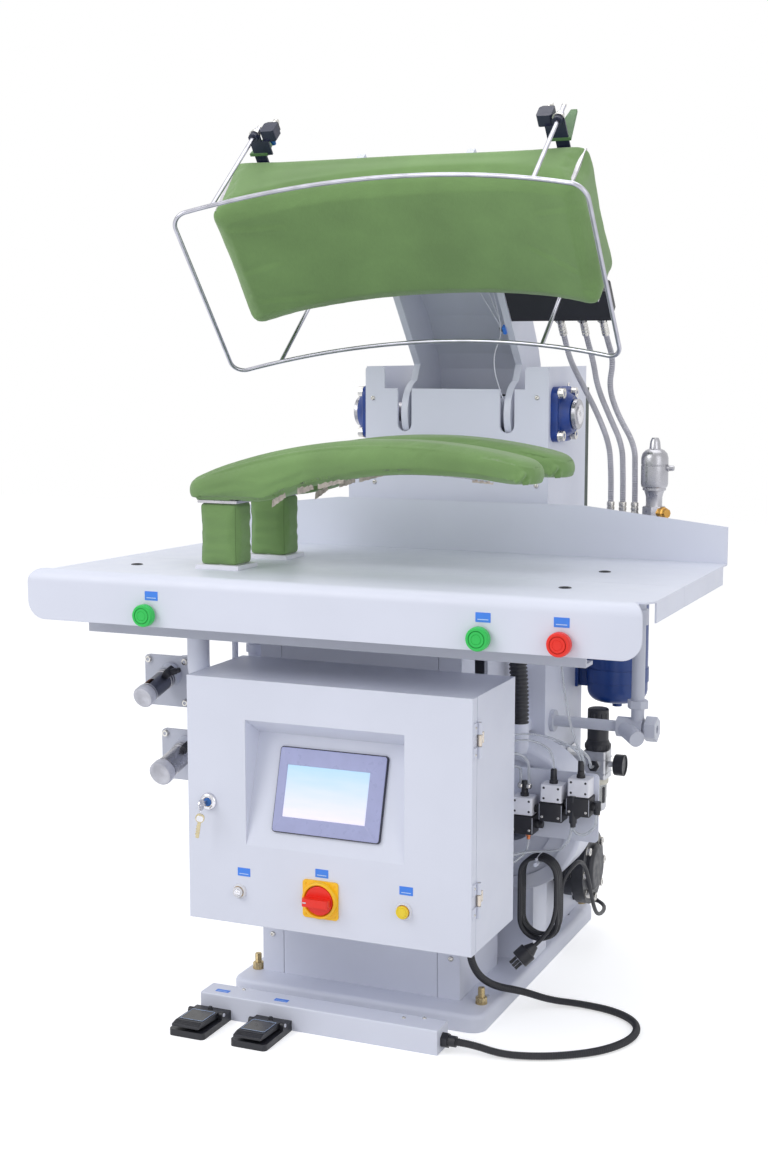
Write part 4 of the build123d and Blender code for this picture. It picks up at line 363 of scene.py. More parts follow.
class Piece:
    """One piece under construction: a mesh that grows until it gets its finish and its body."""

    def __init__(self, name):
        self.name = name
        self.mesh = bmesh.new()
        self.girth = self.mesh.loops.layers.uv.new("girth")

    def rings(self, loops, closed=False, capped=True, lengths=None):
        """Skin between rings of equal point count."""
        made = [[self.mesh.verts.new(point) for point in loop] for loop in loops]
        count = len(made[0])
        pairs = list(zip(made, made[1:] + made[:1])) if closed else list(zip(made, made[1:]))
        for row, (first, second) in enumerate(pairs):
            for i in range(count):
                j = (i + 1) % count
                face = self.mesh.faces.new((first[i], first[j], second[j], second[i]))
                if lengths:
                    for corner, share, level in zip(
                        face.loops, (i, i + 1, i + 1, i), (row, row, row + 1, row + 1),
                    ):
                        corner[self.girth].uv = (share / count, lengths[level])
        if capped and not closed:
            self.mesh.faces.new(reversed(made[0]))
            self.mesh.faces.new(made[-1])
        return self

    def turned(self, profile, place, direction, sides=32, hollow=False):
        """A body of revolution: profile is (along, radius) in millimetres, a closed loop if hollow."""
        side, other, way = square_to(direction)
        loops = []
        for along, radius in profile:
            centre = Vector(place) + way * along / 1000
            loops.append(circle(centre, max(radius, 0.02) / 1000, side, other, sides))
        return self.rings(loops, closed=hollow)

    def plate(self, centre, right, up, width, height, thick, corner=0.0, crown=0.3):
        """A flat plate in millimetres that stands on its centre point, corners rounded, edge broken."""
        right, up = Vector(right).normalized(), Vector(up).normalized()
        out = right.cross(up)
        corner = max(corner, 0.01)
        loops = []
        for level, inset in ((0, 0), (thick - crown, 0), (thick, crown)):
            points = round_rectangle(width, height, corner, corner - inset * 0.99, 4)
            loops.append([Vector(centre) + (right * x + up * y + out * level) / 1000 for x, y in points])
        return self.rings(loops)

    def sheet(self, loops, thick):
        """A thin sheet through rows of points."""
        rows = [[self.mesh.verts.new(point) for point in loop] for loop in loops]
        for first, second in zip(rows, rows[1:]):
            for i in range(len(first) - 1):
                self.mesh.faces.new((first[i], first[i + 1], second[i + 1], second[i]))
        bmesh.ops.solidify(self.mesh, geom=self.mesh.faces[:], thickness=thick)
        return self

    def tube(self, line, radii, sides=12, closed=False):
        """A tube through close points; radii is one number or one for each point, in metres."""
        if not hasattr(radii, "__len__"):
            radii = [radii] * len(line)
        line = [Vector(point) for point in line]
        run, lengths = 0.0, [0.0]
        for first, second in zip(line, line[1:]):
            run += (second - first).length
            lengths.append(run)
        loops, side = [], None
        for i, (point, radius) in enumerate(zip(line, radii)):
            before = line[i - 1] if i or closed else line[i]
            after = line[(i + 1) % len(line)] if i + 1 < len(line) or closed else line[i]
            way = (after - before).normalized()
            side = square_to(way)[0] if side is None else (side - way * side.dot(way)).normalized()
            loops.append(circle(point, radius, side, way.cross(side), sides))
        return self.rings(loops, closed, True, None if closed else lengths)

    def done(self, finish, body="machine_frame", slot=None, smooth=38.0):
        """The finished object, riding on a body."""
        bmesh.ops.recalc_face_normals(self.mesh, faces=self.mesh.faces)
        data = bpy.data.meshes.new(self.name)
        self.mesh.to_mesh(data)
        self.mesh.free()
        data.shade_smooth()
        data.set_sharp_from_angle(angle=radians(smooth))
        data.materials.append(finish.material)
        made = linked(self.name, data)
        if body:
            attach(made, body)
        return made


head_pivot = Vector((0, 139, 1092))
head_opening = Matrix.Rotation(-head_turn, 3, "X")


def opened(point):
    """A point of the head's closed position, in millimetres, turned to where it rests."""
    return (head_pivot + head_opening @ (Vector(point) - head_pivot)) / 1000


def opened_way(way):
    return head_opening @ Vector(way)


# Cords: one smooth spline each
def route_curve(name, points, radius=0.0):
    """A curve of one open spline with the route's points as its control points."""
    data = bpy.data.curves.new(name, "CURVE")
    data.dimensions = "3D"
    spline = data.splines.new("NURBS")
    spline.points.add(len(points) - 1)
    for holder, point in zip(spline.points, points):
        holder.co = (*point, 1.0)
    spline.order_u = 3
    spline.use_endpoint_u = True
    spline.resolution_u = 10
    data.bevel_depth = radius
    data.bevel_resolution = 5
    data.use_fill_caps = radius > 0
    return linked(name, data)


def followed(points):
    """Points read from the route's own spline."""
    made = route_curve("route", points)
    bpy.context.view_layer.update()
    mesh = bpy.data.meshes.new_from_object(made)
    line = [vertex.co.copy() for vertex in mesh.vertices]
    bpy.data.meshes.remove(mesh)
    curve = made.data
    bpy.data.objects.remove(made)
    bpy.data.curves.remove(curve)
    return line


def line_length(line):
    return sum((b - a).length for a, b in zip(line, line[1:]))


def even(line, spacing):
    """The same line with points at an even spacing, for rings that repeat."""
    total = line_length(line)
    count = max(2, round(total / spacing))
    made, run, index = [line[0]], 0.0, 0
    for step in range(1, count):
        target = total * step / count
        while run + (line[index + 1] - line[index]).length < target:
            run += (line[index + 1] - line[index]).length
            index += 1
        part = line[index + 1] - line[index]
        made.append(line[index] + part * ((target - run) / part.length))
    return made + [line[-1]]


def coil_points():
    """Loops side by side over the hook; they differ a little in size where they hang free."""
    centre_x, y, top, bottom = 0.272, -0.0648, 0.220, 0.136
    radius, step = 0.037, 0.0044
    drops = (0.0, 0.007, -0.005, 0.003)
    points = []
    for half in range(8):
        down = half % 2 == 0
        level = bottom - drops[half // 2] if down else top
        sense = 1 if down else -1
        for angle in range(15, 180, 30):
            turn = radians(angle)
            reach = radius / cos(radians(15))
            x, z = centre_x + sense * reach * cos(turn), level - sense * reach * sin(turn)
            points.append((x, y - step * angle / 180, z))
        y -= step
        side = centre_x - sense * radius
        if half < 7:
            points += [(side, y, level + sense * 0.014), (side, y, level + sense * 0.062)]
    return points


power_points = [
    (0.239, 0.290, 0.066), (0.272, 0.288, 0.062), (0.300, 0.268, 0.058), (0.310, 0.236, 0.058),
    (0.314, 0.196, 0.062), (0.318, 0.152, 0.076), (0.323, 0.112, 0.104), (0.327, 0.076, 0.142),
    (0.329, 0.050, 0.180), (0.329, 0.024, 0.214), (0.328, -0.010, 0.235), (0.322, -0.044, 0.230),
    (0.309, -0.0648, 0.205), (0.309, -0.0648, 0.165),
    *coil_points(),
    (0.309, -0.100, 0.190), (0.309, -0.100, 0.156), (0.301, -0.112, 0.120), (0.278, -0.128, 0.096),
]
power_cord = route_curve("power_cord", power_points, 0.004)
power_cord.data.materials.append(finishes["black_rubber"].material)
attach(power_cord, "machine_frame")
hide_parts("power_cord_coil", "power_cord_lead")


def ribbed(name, points, outer, valley, pitch, finish, sides=20):
    """A corrugated tube along a route: four rings make each rib."""
    line = even(followed(points), pitch / 4)
    radii = [(outer, outer, valley, valley)[i % 4] for i in range(len(line))]
    made = Piece(name).tube(line, radii, sides).done(finish, smooth=80.0)
    return made, line


conduit_route = [
    (0.240, -0.4465, 0.020), (0.270, -0.4465, 0.020), (0.316, -0.440, 0.009), (0.362, -0.429, 0.0074),
    (0.420, -0.402, 0.0074), (0.480, -0.352, 0.0074), (0.513, -0.280, 0.0074), (0.503, -0.212, 0.0074),
    (0.450, -0.170, 0.0074), (0.378, -0.160, 0.0074), (0.324, -0.177, 0.012), (0.280, -0.208, 0.034),
    (0.243, -0.246, 0.050), (0.228, -0.284, 0.076), (0.223, -0.316, 0.108), (0.222, -0.335, 0.142),
    (0.222, -0.335, 0.175),
]
conduit, conduit_line = ribbed(
    "foot_conduit_tube", conduit_route, 0.007, 0.0058, 0.0042, finishes["black_rubber"],
)
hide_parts("foot_conduit")
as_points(conduit_line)

hose_route = [
    (0.219, -0.058, 0.508), (0.219, -0.058, 0.568), (0.213, -0.060, 0.640), (0.216, -0.060, 0.710),
    (0.222, -0.058, 0.763), (0.222, -0.058, 0.823),
]
suction, suction_line = ribbed(
    "suction_hose_tube", hose_route, 0.0175, 0.0152, 0.0075, finishes["black_plastic"], 32,
)
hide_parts("suction_hose")
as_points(suction_line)


def steam_route(start_x, end_x, sway):
    """One hose from its fitting on the head's manifold down to the header."""
    start = opened((start_x, -10, 1180))
    out = opened_way((0, 1, 0))
    first = start + out * 0.030
    return [
        tuple(start), tuple(first), (start_x / 1000 + 0.010, start.y + 0.030 + sway / 2000, start.z - 0.066),
        (0.300 + sway / 500, 0.140 + sway / 1000, 1.146),
        (0.326 + 1.5 * sway / 1000, 0.136 + sway / 1000, 1.092),
        (end_x / 1000 - 0.006, 0.128 + sway / 2000, 1.034), (end_x / 1000 - 0.002, 0.122, 0.985),
        (end_x / 1000, 0.118, 0.942), (end_x / 1000, 0.118, 0.902),
    ]


hose_ends = ((240.0, 342.0, -10), (285.0, 366.0, 2), (325.0, 390.0, 12))
hose_lengths = (0.389, 0.384, 0.388)
for index, ((start_x, end_x, sway), length) in enumerate(zip(hose_ends, hose_lengths)):
    route = steam_route(start_x, end_x, sway)
    line = even(followed(route), 0.004)
    hose = Piece(f"steam_hose_{index + 1}").tube(line, 0.0055, 20).done(finishes["braided_hose"], None)
    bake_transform(hose)
    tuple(route[0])
    if index == 0:
        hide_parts("steam_hoses")


# Cloth over padding
arch_x, arch_radius, arch_top = 107.0, 1050.0, 1063.0


def arch(x):
    """Height of the pressing face over the floor, in millimetres."""
    return arch_top - arch_radius + sqrt(arch_radius ** 2 - (x - arch_x) ** 2)


def boxed(cells, place):
    """A closed box of small faces; place turns each corner's shares, 0 to 1, into a point."""
    mesh = bmesh.new()
    corners = {}

    def corner(*index):
        if index not in corners:
            corners[index] = mesh.verts.new(place(*(i / n for i, n in zip(index, cells))))
        return corners[index]

    for axis in range(3):
        first, second = (a for a in range(3) if a != axis)
        for level in (0, cells[axis]):
            for i in range(cells[first]):
                for j in range(cells[second]):
                    quad = []
                    for across, along in ((0, 0), (1, 0), (1, 1), (0, 1)):
                        index = [0, 0, 0]
                        index[axis], index[first], index[second] = level, i + across, j + along
                        quad.append(corner(*index))
                    mesh.faces.new(quad)
    bmesh.ops.recalc_face_normals(mesh, faces=mesh.faces)
    return mesh


def rounded_corner(away, radius):
    """Map the square corner of a plan onto a quarter disc."""
    if away.length < 1e-9:
        return away
    return away * (max(abs(away.x), abs(away.y)) / away.length)


def padded_point(x, y, depth, low, high, thick, plan_radius, top_radius, low_radius):
    """A point of a box's surface with its plan corners and its upper and lower edges rounded.

    Depth is measured from the lower face; low and high are the plan's corners."""
    core = Vector((
        min(max(x, low[0] + plan_radius), high[0] - plan_radius),
        min(max(y, low[1] + plan_radius), high[1] - plan_radius),
    ))
    away = rounded_corner(Vector((x, y)) - core, plan_radius)
    reach = away.length
    radius = low_radius + (top_radius - low_radius) * min(1.0, max(0.0, depth / thick))
    radius = min(radius, plan_radius, thick / 2.02)
    if reach > plan_radius - radius:
        level = min(max(depth, radius), thick - radius)
        edge = Vector((reach - (plan_radius - radius), depth - level))
        if edge.length > 1e-9:
            edge *= max(abs(edge.x), abs(edge.y)) / edge.length
        away = away.normalized() * (plan_radius - radius + edge.x)
        depth = level + edge.y
    return core + away, depth


def filled(mesh, name, voxel, cap):
    """Fill a closed shape as padding fills its cover: even small faces, blown out a little, then smoothed."""
    data = bpy.data.meshes.new(name)
    mesh.to_mesh(data)
    mesh.free()
    made = linked(name, data)
    bpy.context.view_layer.objects.active = made
    remesh = made.modifiers.new("even", "REMESH")
    remesh.mode = "VOXEL"
    remesh.voxel_size = voxel
    applied(made)
    start = [vertex.co.copy() for vertex in made.data.vertices]
    cover = made.modifiers.new("cover", "CLOTH")
    cover.settings.use_pressure = True
    cover.settings.uniform_pressure_force = 5.0
    cover.settings.effector_weights.gravity = 0.0
    cover.settings.quality = 5
    cover.settings.tension_stiffness = 30.0
    cover.settings.compression_stiffness = 20.0
    cover.settings.bending_stiffness = 0.6
    cover.collision_settings.use_self_collision = False
    for step in range(1, 11):
        scene.frame_set(step)
    applied(made)
    scene.frame_set(1)
    for vertex, origin in zip(made.data.vertices, start):
        move = vertex.co - origin
        if move.length > cap:
            vertex.co = origin + move.normalized() * cap
    made.modifiers.new("fine", "SUBSURF").levels = 1
    applied(made)
    return made


def applied(made):
    """Bake an object's modifiers into its mesh."""
    bpy.context.view_layer.update()
    baked = bpy.data.meshes.new_from_object(made.evaluated_get(bpy.context.evaluated_depsgraph_get()))
    old = made.data
    made.modifiers.clear()
    made.data = baked
    bpy.data.meshes.remove(old)


def shaped(made, lines):
    """Move the surface near lines along its normal: (points, amount, width), in metres."""
    data = made.data
    data.update()
    count = len(data.vertices)
    places = np.empty(count * 3)
    normals = np.empty(count * 3)
    data.vertices.foreach_get("co", places)
    data.vertices.foreach_get("normal", normals)
    places, normals = places.reshape(-1, 3), normals.reshape(-1, 3)
    total = np.zeros(count)
    for points, amount, width in lines:
        nearest = np.full(count, 1e9)
        share = np.zeros(count)
        for index, (start, end) in enumerate(zip(points, points[1:])):
            start, end = np.array(start), np.array(end)
            run = end - start
            along = np.clip((places - start) @ run / (run @ run), 0, 1)
            gap = np.linalg.norm(places - start - along[:, None] * run, axis=1)
            closer = gap < nearest
            nearest = np.where(closer, gap, nearest)
            share = np.where(closer, (index + along) / (len(points) - 1), share)
        fade = np.clip(np.minimum(share, 1 - share) * 6, 0, 1) if amount else 1
        total += amount * fade * np.exp(-(nearest / width) ** 2)
    places += normals * total[:, None]
    data.vertices.foreach_set("co", places.ravel())
    data.update()


def kept_outside(made, core, margin, floor_at):
    """Push a cover's points out of the rigid piece under it and ease them.

    floor_at gives the lowest height at x."""
    bpy.context.view_layer.update()
    tree = BVHTree.FromObject(core, bpy.context.evaluated_depsgraph_get())
    there, back = core.matrix_world.inverted(), core.matrix_world
    cover = bmesh.new()
    cover.from_mesh(made.data)
    moved = set()
    for turn in range(4):
        for vertex in cover.verts:
            near, way, _, gap = tree.find_nearest(there @ vertex.co)
            if gap < 0.03 and (vertex.co - back @ near).dot(way) < margin:
                vertex.co = back @ near + way * margin
                moved.add(vertex)
            vertex.co.z = max(vertex.co.z, floor_at(vertex.co.x * 1000) / 1000)
        if turn < 3:
            ring = moved | {edge.other_vert(vertex) for vertex in moved for edge in vertex.link_edges}
            bmesh.ops.smooth_vert(
                cover, verts=list(ring), factor=0.5, use_axis_x=True, use_axis_y=True, use_axis_z=True,
            )
    cover.to_mesh(made.data)
    cover.free()
    made.data.update()


def finer(made, beyond):
    """Divide the cover's faces beyond this x, in metres, so that narrow folds show there."""
    cover = bmesh.new()
    cover.from_mesh(made.data)
    edges = [edge for edge in cover.edges if min(vertex.co.x for vertex in edge.verts) > beyond]
    bmesh.ops.subdivide_edges(cover, edges=edges, cuts=1, use_grid_fill=True)
    cover.to_mesh(made.data)
    cover.free()
    made.data.update()


def finished_cloth(made, finish, body, node):
    """Material and body of a padded piece, and the imported piece it stands for hidden where one is given."""
    made.data.shade_smooth()
    made.data.materials.clear()
    made.data.materials.append(finish.material)
    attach(made, body)
    if node:
        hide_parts(node)


def stitched(name, made, points, inward, body, radius=0.0006, sink=0.0001):
    """A seam laid on a cloth surface: each point is dropped onto it along its own inward way."""
    bpy.context.view_layer.update()
    tree = BVHTree.FromObject(made, bpy.context.evaluated_depsgraph_get())
    line = []
    for point, way in zip(points, inward):
        way = Vector(way).normalized()
        hit = tree.ray_cast(Vector(point) - way * 0.04, way, 0.08)[0]
        if hit is not None:
            line.append(hit + way * sink)
    Piece(name).tube(line, radius, 6).done(seam_thread, body, "green_cloth")


head_low, head_high = (-308.0, -444.0), (384.0, -166.0)
head_top, head_lean, lip, platen_drop = 1150.0, 18.0, 30.0, 12.0
cover_start = 3.0


def head_point(u, v, w):
    """Shares along, across and up the head, to its surface in the closed position, in millimetres."""
    low = (head_low[0] + cover_start, head_low[1] + cover_start)
    high = (head_high[0] - cover_start, head_high[1] - cover_start)
    x = low[0] + (high[0] - low[0]) * u
    y = low[1] + (high[1] - low[1]) * v
    thick = head_top - arch(x) - cover_start
    plan, depth = padded_point(x, y, thick * w, low, high, thick, 22.0, 7.0, 20.0)
    share = depth / thick
    lean = head_lean * share * (high[0] - plan.x) / (high[0] - low[0])
    level = arch(plan.x) + cover_start + depth * (head_top - arch(plan.x) - cover_start) / thick
    inside = min(plan.x - low[0], high[0] - plan.x, plan.y - low[1], high[1] - plan.y) - lip
    if w > 0.999:
        level -= platen_drop * min(1.0, max(0.0, inside / 6.0))
    return plan.x - lean, plan.y, level


def make_head_cloth():
    """The head's cover: swollen face, tight sides, seams down the corners and a few drawn wrinkles."""
    mesh = boxed((116, 48, 24), lambda u, v, w: opened(head_point(u, v, w)))
    made = filled(mesh, "head_pad_cloth", 0.006, 0.0045)
    wrinkles = []
    for x, y, reach, lean in (
        (-292, -404, 120, 0.2), (-290, -300, 90, -0.1), (-285, -235, 130, 0.15), (368, -250, 110, -0.5),
        (370, -395, 80, 0.25), (-120, -180, 90, 0.9), (150, -176, 120, 0.95),
    ):
        side = 1 if x < 0 else -1
        runs = (0, reach * 0.5, reach)
        points = [opened((x + side * run, y + run * lean, arch(x + side * run))) for run in runs]
        wrinkles.append((points, -0.0011, 0.007))
        shifted = [point + opened_way((0, 0.011, 0)) for point in points]
        wrinkles.append((shifted, 0.0009, 0.008))
    for level in (0.32, 0.62):
        line = [opened(head_point(u, 0.0, level + 0.05 * sin(7 * u))) for u in (0.08, 0.3, 0.5, 0.7, 0.93)]
        wrinkles.append((line, -0.0008, 0.01))
    corners = []
    for u, v, way in ((1, 0, (-1, 1, 0)), (0, 0, (1, 1, 0)), (1, 1, (-1, -1, 0)), (0, 1, (1, -1, 0))):
        steps = [0.04 + 0.92 * i / 24 for i in range(25)]
        corners.append(([opened(head_point(u, v, w)) for w in steps], [opened_way(way)] * 25))
    wrinkles += [(points, -0.0012, 0.0028) for points, _ in corners]
    shaped(made, wrinkles)
    finished_cloth(made, head_cloth, "head", "head_pad")
    for number, (points, ways) in enumerate(corners):
        stitched(f"head_corner_seam_{number + 1}", made, points, ways, "head")


buck_left, buck_right, buck_half = -290.0, 372.0, 50.0
buck_ys = (-401.0, -226.0)
heel_x, heel_z = -139.0, 950.0
neck_x, tip_thick, press_gap = -47.0, 42.0, 0.5


def arc_height(x, first, second, third):
    """Height at x of the circle through three points."""
    (ax, az), (bx, bz), (cx, cz) = first, second, third
    twice = 2 * (ax * (bz - cz) + bx * (cz - az) + cx * (az - bz))
    squares = [px * px + pz * pz for px, pz in (first, second, third)]
    mx = (squares[0] * (bz - cz) + squares[1] * (cz - az) + squares[2] * (az - bz)) / twice
    mz = (squares[0] * (cx - bx) + squares[1] * (ax - cx) + squares[2] * (bx - ax)) / twice
    radius = hypot(ax - mx, az - mz)
    return mz + sqrt(radius ** 2 - (x - mx) ** 2)


def buck_under(x):
    """Height of the buck's lower face: flat heel, a rising neck, then an arch to the tip."""
    neck = (neck_x, arch(heel_x) - 52)
    if x < heel_x:
        return heel_z
    if x < neck_x:
        share = (x - heel_x) / (neck_x - heel_x)
        share = share * share * (3 - 2 * share)
        return heel_z + (neck[1] - heel_z) * share
    middle = (arch_x + 70, arch_top - press_gap - 12 - tip_thick)
    tip = (buck_right, arch(buck_right) - press_gap - tip_thick)
    return arc_height(x, neck, middle, tip)


def buck_point(u, v, w, centre):
    low = (buck_left + 1.5, centre - buck_half + 1.5)
    high = (buck_right - 1.5, centre + buck_half - 1.5)
    x = low[0] + (high[0] - low[0]) * u
    y = low[1] + (high[1] - low[1]) * v
    under, top = buck_under(x) + 1.5, arch(x) - press_gap - 1.5
    thick = top - under
    tip = min(1.0, max(0.0, (x - 150) / 200))
    heel = min(1.0, max(0.0, (-180 - x) / 100))
    plan_radius = 30.0 + 14.0 * tip
    plan, depth = padded_point(
        x, y, thick * w, low, high, thick, plan_radius, 22.0 - 4 * heel, 9.0 + 7.0 * tip,
    )
    level = buck_under(plan.x) + 1.5 + depth * (arch(plan.x) - buck_under(plan.x) - press_gap - 3) / thick
    return plan.x, plan.y, level


# Folds on the bucks' sides as (x, z) points in millimetres and a depth in metres
side_folds = (
    ((-284, 962), (-250, 966), (-170, 985), -0.0022), ((-280, 975), (-225, 962), (-150, 963), 0.0018),
    ((-286, 953), (-210, 958), (-120, 972), -0.0016), ((-200, 992), (-130, 985), (-60, 1000), 0.0014),
    ((-150, 958), (-100, 985), (-20, 1012), -0.0012), ((250, 1004), (300, 992), (352, 960), -0.0014),
    ((310, 1000), (335, 985), (362, 968), 0.0014), ((320, 978), (340, 972), (356, 952), -0.0018),
)
# Folds drawn round the tips as (x, share of the height) points, a height and a width in metres
tip_folds = (
    ((338, 0.02), (349, 0.26), (362, 0.66), 0.0056, 0.0050),
    ((346, 0.0), (358, 0.2), (370, 0.56), -0.0026, 0.0036),
    ((354, 0.0), (366, 0.18), (377, 0.5), 0.0048, 0.0046),
    ((322, 0.02), (333, 0.16), (344, 0.4), 0.003, 0.0044),
    ((368, 0.0), (376, 0.1), (382, 0.3), 0.003, 0.004),
)


def make_buck_cloth(number, centre):
    """One buck's cover: full round back, gathers at the tip, folds drawn down to the heel's corner."""
    mesh = boxed((120, 20, 14), lambda u, v, w: mm(*buck_point(u, v, w, centre)))
    made = filled(mesh, f"buck_pad_cloth_{number}", 0.005, 0.0035)
    folds = []
    for i in range(11):
        angle = radians(-80 + 16 * i)
        reach = 38 + 8 * sin(2.3 * i)
        start = Vector((buck_right - 34 + 30 * cos(angle), centre + 42 * sin(angle), 0))
        end_y = centre + (46 - reach * 0.6) * sin(angle)
        end = Vector((buck_right - 34 + (30 - reach) * cos(angle), end_y, 0))
        steps = (start, 16), (start, 2), (end, 0)
        line = [mm(p.x, p.y, buck_under(min(p.x, buck_right)) + lift) for p, lift in steps]
        folds.append((line, -0.0018, 0.0035))
    for side in (-1, 1):
        y = centre + side * buck_half
        folds += [([mm(x, y, z) for x, z in line], depth, 0.006) for *line, depth in side_folds]
    hem = [mm(*buck_point(u, 0.0, 0.12, centre)) for u in (0.3, 0.45, 0.6, 0.75, 0.9)]
    folds.append((hem, -0.0008, 0.003))
    shaped(made, folds)
    kept_outside(made, nodes["buck_chambers"], 0.0022, lambda x: buck_under(x) + 0.6 if x < heel_x else 0.0)
    finer(made, 0.312)
    drawn = []
    for side in (0.0, 1.0):
        for *line, height, width in tip_folds:
            shares = [((x - buck_left) / (buck_right - buck_left), share) for x, share in line]
            drawn.append(([mm(*buck_point(u, side, w, centre)) for u, w in shares], height, width))
    shaped(made, drawn)
    node = "buck_pads" if number == 1 else None
    finished_cloth(made, finishes["green_cloth"], "machine_frame", node)


def post_point(u, v, w, x, y):
    low, high = (x - 39.5 + 1.5, y - 33.5 + 1.5), (x + 39.5 - 1.5, y + 33.5 - 1.5)
    height = 111.0
    plan, depth = padded_point(
        low[0] + (high[0] - low[0]) * u, low[1] + (high[1] - low[1]) * v, height * w, low, high, height,
        9.0, 3.0, 3.0,
    )
    return plan.x, plan.y, 834.0 + depth


def make_post_cloth(number, x, y):
    """A sleeve round a post: four sewn corners and soft level wrinkles."""
    mesh = boxed((20, 18, 28), lambda u, v, w: mm(*post_point(u, v, w, x, y)))
    made = filled(mesh, f"post_cover_cloth_{number}", 0.005, 0.0022)
    folds, seams = [], []
    for side_x, side_y in ((-1, -1), (1, -1), (1, 1), (-1, 1)):
        points = [mm(x + 38.5 * side_x, y + 32.5 * side_y, 836 + 107 * i / 20) for i in range(21)]
        seams.append((points, [(-side_x, -side_y, 0)] * 21))
        folds.append((points, -0.0008, 0.003))
    for i in range(7):
        level = 850 + 13 * i + 4 * sin(5.1 * i + number)
        sway = 7 * sin(3.7 * i + 2 * number)
        for face_y in (y - 33.5, y + 33.5):
            steps = (-36, 0), (0, sway * 0.4), (36, sway)
            line = [mm(x + across, face_y, level + lift) for across, lift in steps]
            folds.append((line, 0.0011 if i % 2 else -0.0011, 0.006))
        for face_x in (x - 39.5, x + 39.5):
            line = [mm(face_x, y - 30, level + sway), mm(face_x, y + 30, level - sway * 0.5)]
            folds.append((line, 0.0009 if i % 2 else -0.0009, 0.006))
    shaped(made, folds)
    node = "post_covers" if number == 1 else None
    finished_cloth(made, finishes["green_cloth"], "machine_frame", node)
    for i, (points, ways) in enumerate(seams):
        stitched(f"post_seam_{number}_{i + 1}", made, points, ways, "machine_frame", 0.0005)


def ribbon(name, line, spread, finish, thick):
    """A flat strip along a line; spread gives the half width as a vector at each point."""
    rows = [(point - half, point + half) for point, half in zip(line, spread)]
    Piece(name).sheet(rows, thick).done(finish, smooth=60.0)


def make_buck_trim(number, centre):
    """Under the cloth's hem: a thin steel strip, and ends of the tape that ties the cloth on."""
    front = centre - buck_half + 3
    line = [mm(x, front, buck_under(x) - 0.6) for x in range(30, 300, 10)]
    ribbon(f"buck_strip_{number}", line, [mm(0, 2.5, 0)] * len(line), zinc, 0.0014)
    for index, (x0, x1, drop) in enumerate(((-112, -84, 13), (-62, -30, 12), (-22, 26, 9), (262, 300, 5))):
        count = 26
        line, spread = [], []
        for i in range(count):
            t = i / (count - 1)
            x = x0 + (x1 - x0) * t
            wave = sin(9.0 * t + 2.1 * index + number)
            ripple = sin(23.0 * t + index)
            low = buck_under(x) - 1.2 - drop * 0.5 * (1 - t * 0.5)
            line.append(mm(x, front + 1.2 + 1.6 * wave + 0.9 * ripple, low + 0.8 * ripple))
            spread.append(mm(0.6 * ripple, 1.2 * wave, drop * (0.5 - 0.16 * t) + 0.5 * ripple))
        ribbon(f"buck_tape_{number}_{index + 1}", line, spread, tape, 0.0007)


make_head_cloth()
for number, (centre, post_x) in enumerate(zip(buck_ys, (-228.0, -219.0)), start=1):
    make_buck_cloth(number, centre)
    make_post_cloth(number, post_x, centre)
    make_buck_trim(number, centre)


# Small parts
front, rear, right_way, left_way = (0, -1, 0), (0, 1, 0), (1, 0, 0), (-1, 0, 0)
above, below = (0, 0, 1), (0, 0, -1)
door_face, apron_face, column_face, tower_face = -510.0, -556.0, -296.0, 74.0
table_top, bar_top = 826, 45
corner_signs = [(first, second) for first in (-1, 1) for second in (-1, 1)]
black, rubber = finishes["black_plastic"], finishes["black_rubber"]


def rim(centre, right, up, width, height, corner):
    """Points round a rounded rectangle about a centre, in metres; sizes in millimetres."""
    right, up = Vector(right).normalized(), Vector(up).normalized()
    points = round_rectangle(width, height, corner, corner, 6)
    return [Vector(centre) + (right * x + up * y) / 1000 for x, y in points]


def lathe(name, finish, profile, place, way, sides, body="machine_frame", smooth=38.0, hollow=False):
    """One body of revolution as a piece of its own."""
    return Piece(name).turned(profile, place, way, sides, hollow).done(finish, body, smooth=smooth)


def lathes(name, finish, rows, body="machine_frame", smooth=38.0):
    """Several bodies of revolution as one piece; each row has profile, place in metres, way and sides."""
    made = Piece(name)
    for profile, place, way, sides in rows:
        made.turned(profile, place, way, sides)
    return made.done(finish, body, smooth=smooth)


def socket_screws(name, places, way, radius, body="machine_frame", finish=zinc):
    """Button-head screws with a socket, seated on a face; places in millimetres."""
    sized = [(along * radius, share * radius) for along, share in (
        (-0.6, 1.0), (0.0, 1.0), (0.3, 0.97), (0.52, 0.8), (0.62, 0.56), (0.6, 0.46), (0.25, 0.42),
        (0.2, 0.0),
    )]
    return lathes(name, finish, [(sized, mm(*place), way, 20) for place in places], body)


def cap_bolts(name, places, way, radius, length, sides=12):
    """Flanged bolt heads that cover the plain heads of the frame."""
    profile = [
        (-0.4, radius * 1.06), (length * 0.16, radius * 1.06), (length * 0.22, radius),
        (length - 0.8, radius), (length, radius * 0.86), (length + 0.1, radius * 0.5),
        (length - 1.4, radius * 0.44), (length - 1.5, 0),
    ]
    return lathes(name, zinc, [(profile, mm(*place), way, sides) for place in places], smooth=24.0)


def label(name, place, up, width, height, body="machine_frame"):
    """A blank blue label with one pale rule under its middle."""
    place, right, up = mm(*place), Vector(right_way), Vector(up)
    Piece(f"{name}_plate").plate(place, right, up, width, height, 0.5, 0.8, 0.12).done(label_blue, body)
    rule = Piece(f"{name}_rule")
    place = place + right.cross(up) * 0.0005 - up * height * 0.00022
    rule.plate(place, right, up, width * 0.72, height * 0.1, 0.12, 0.1, 0.02)
    rule.done(label_white, body)


def wire(name, points, radius, length, finish, body="machine_frame"):
    """A thin free line between two fittings; points and radius in millimetres; length, in metres, is not
    used.
    """
    places = [mm(*point) for point in points]
    made = route_curve(name, places, radius / 1000)
    made.data.materials.append(finish.material)
    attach(made, body)
    tuple(places[0])


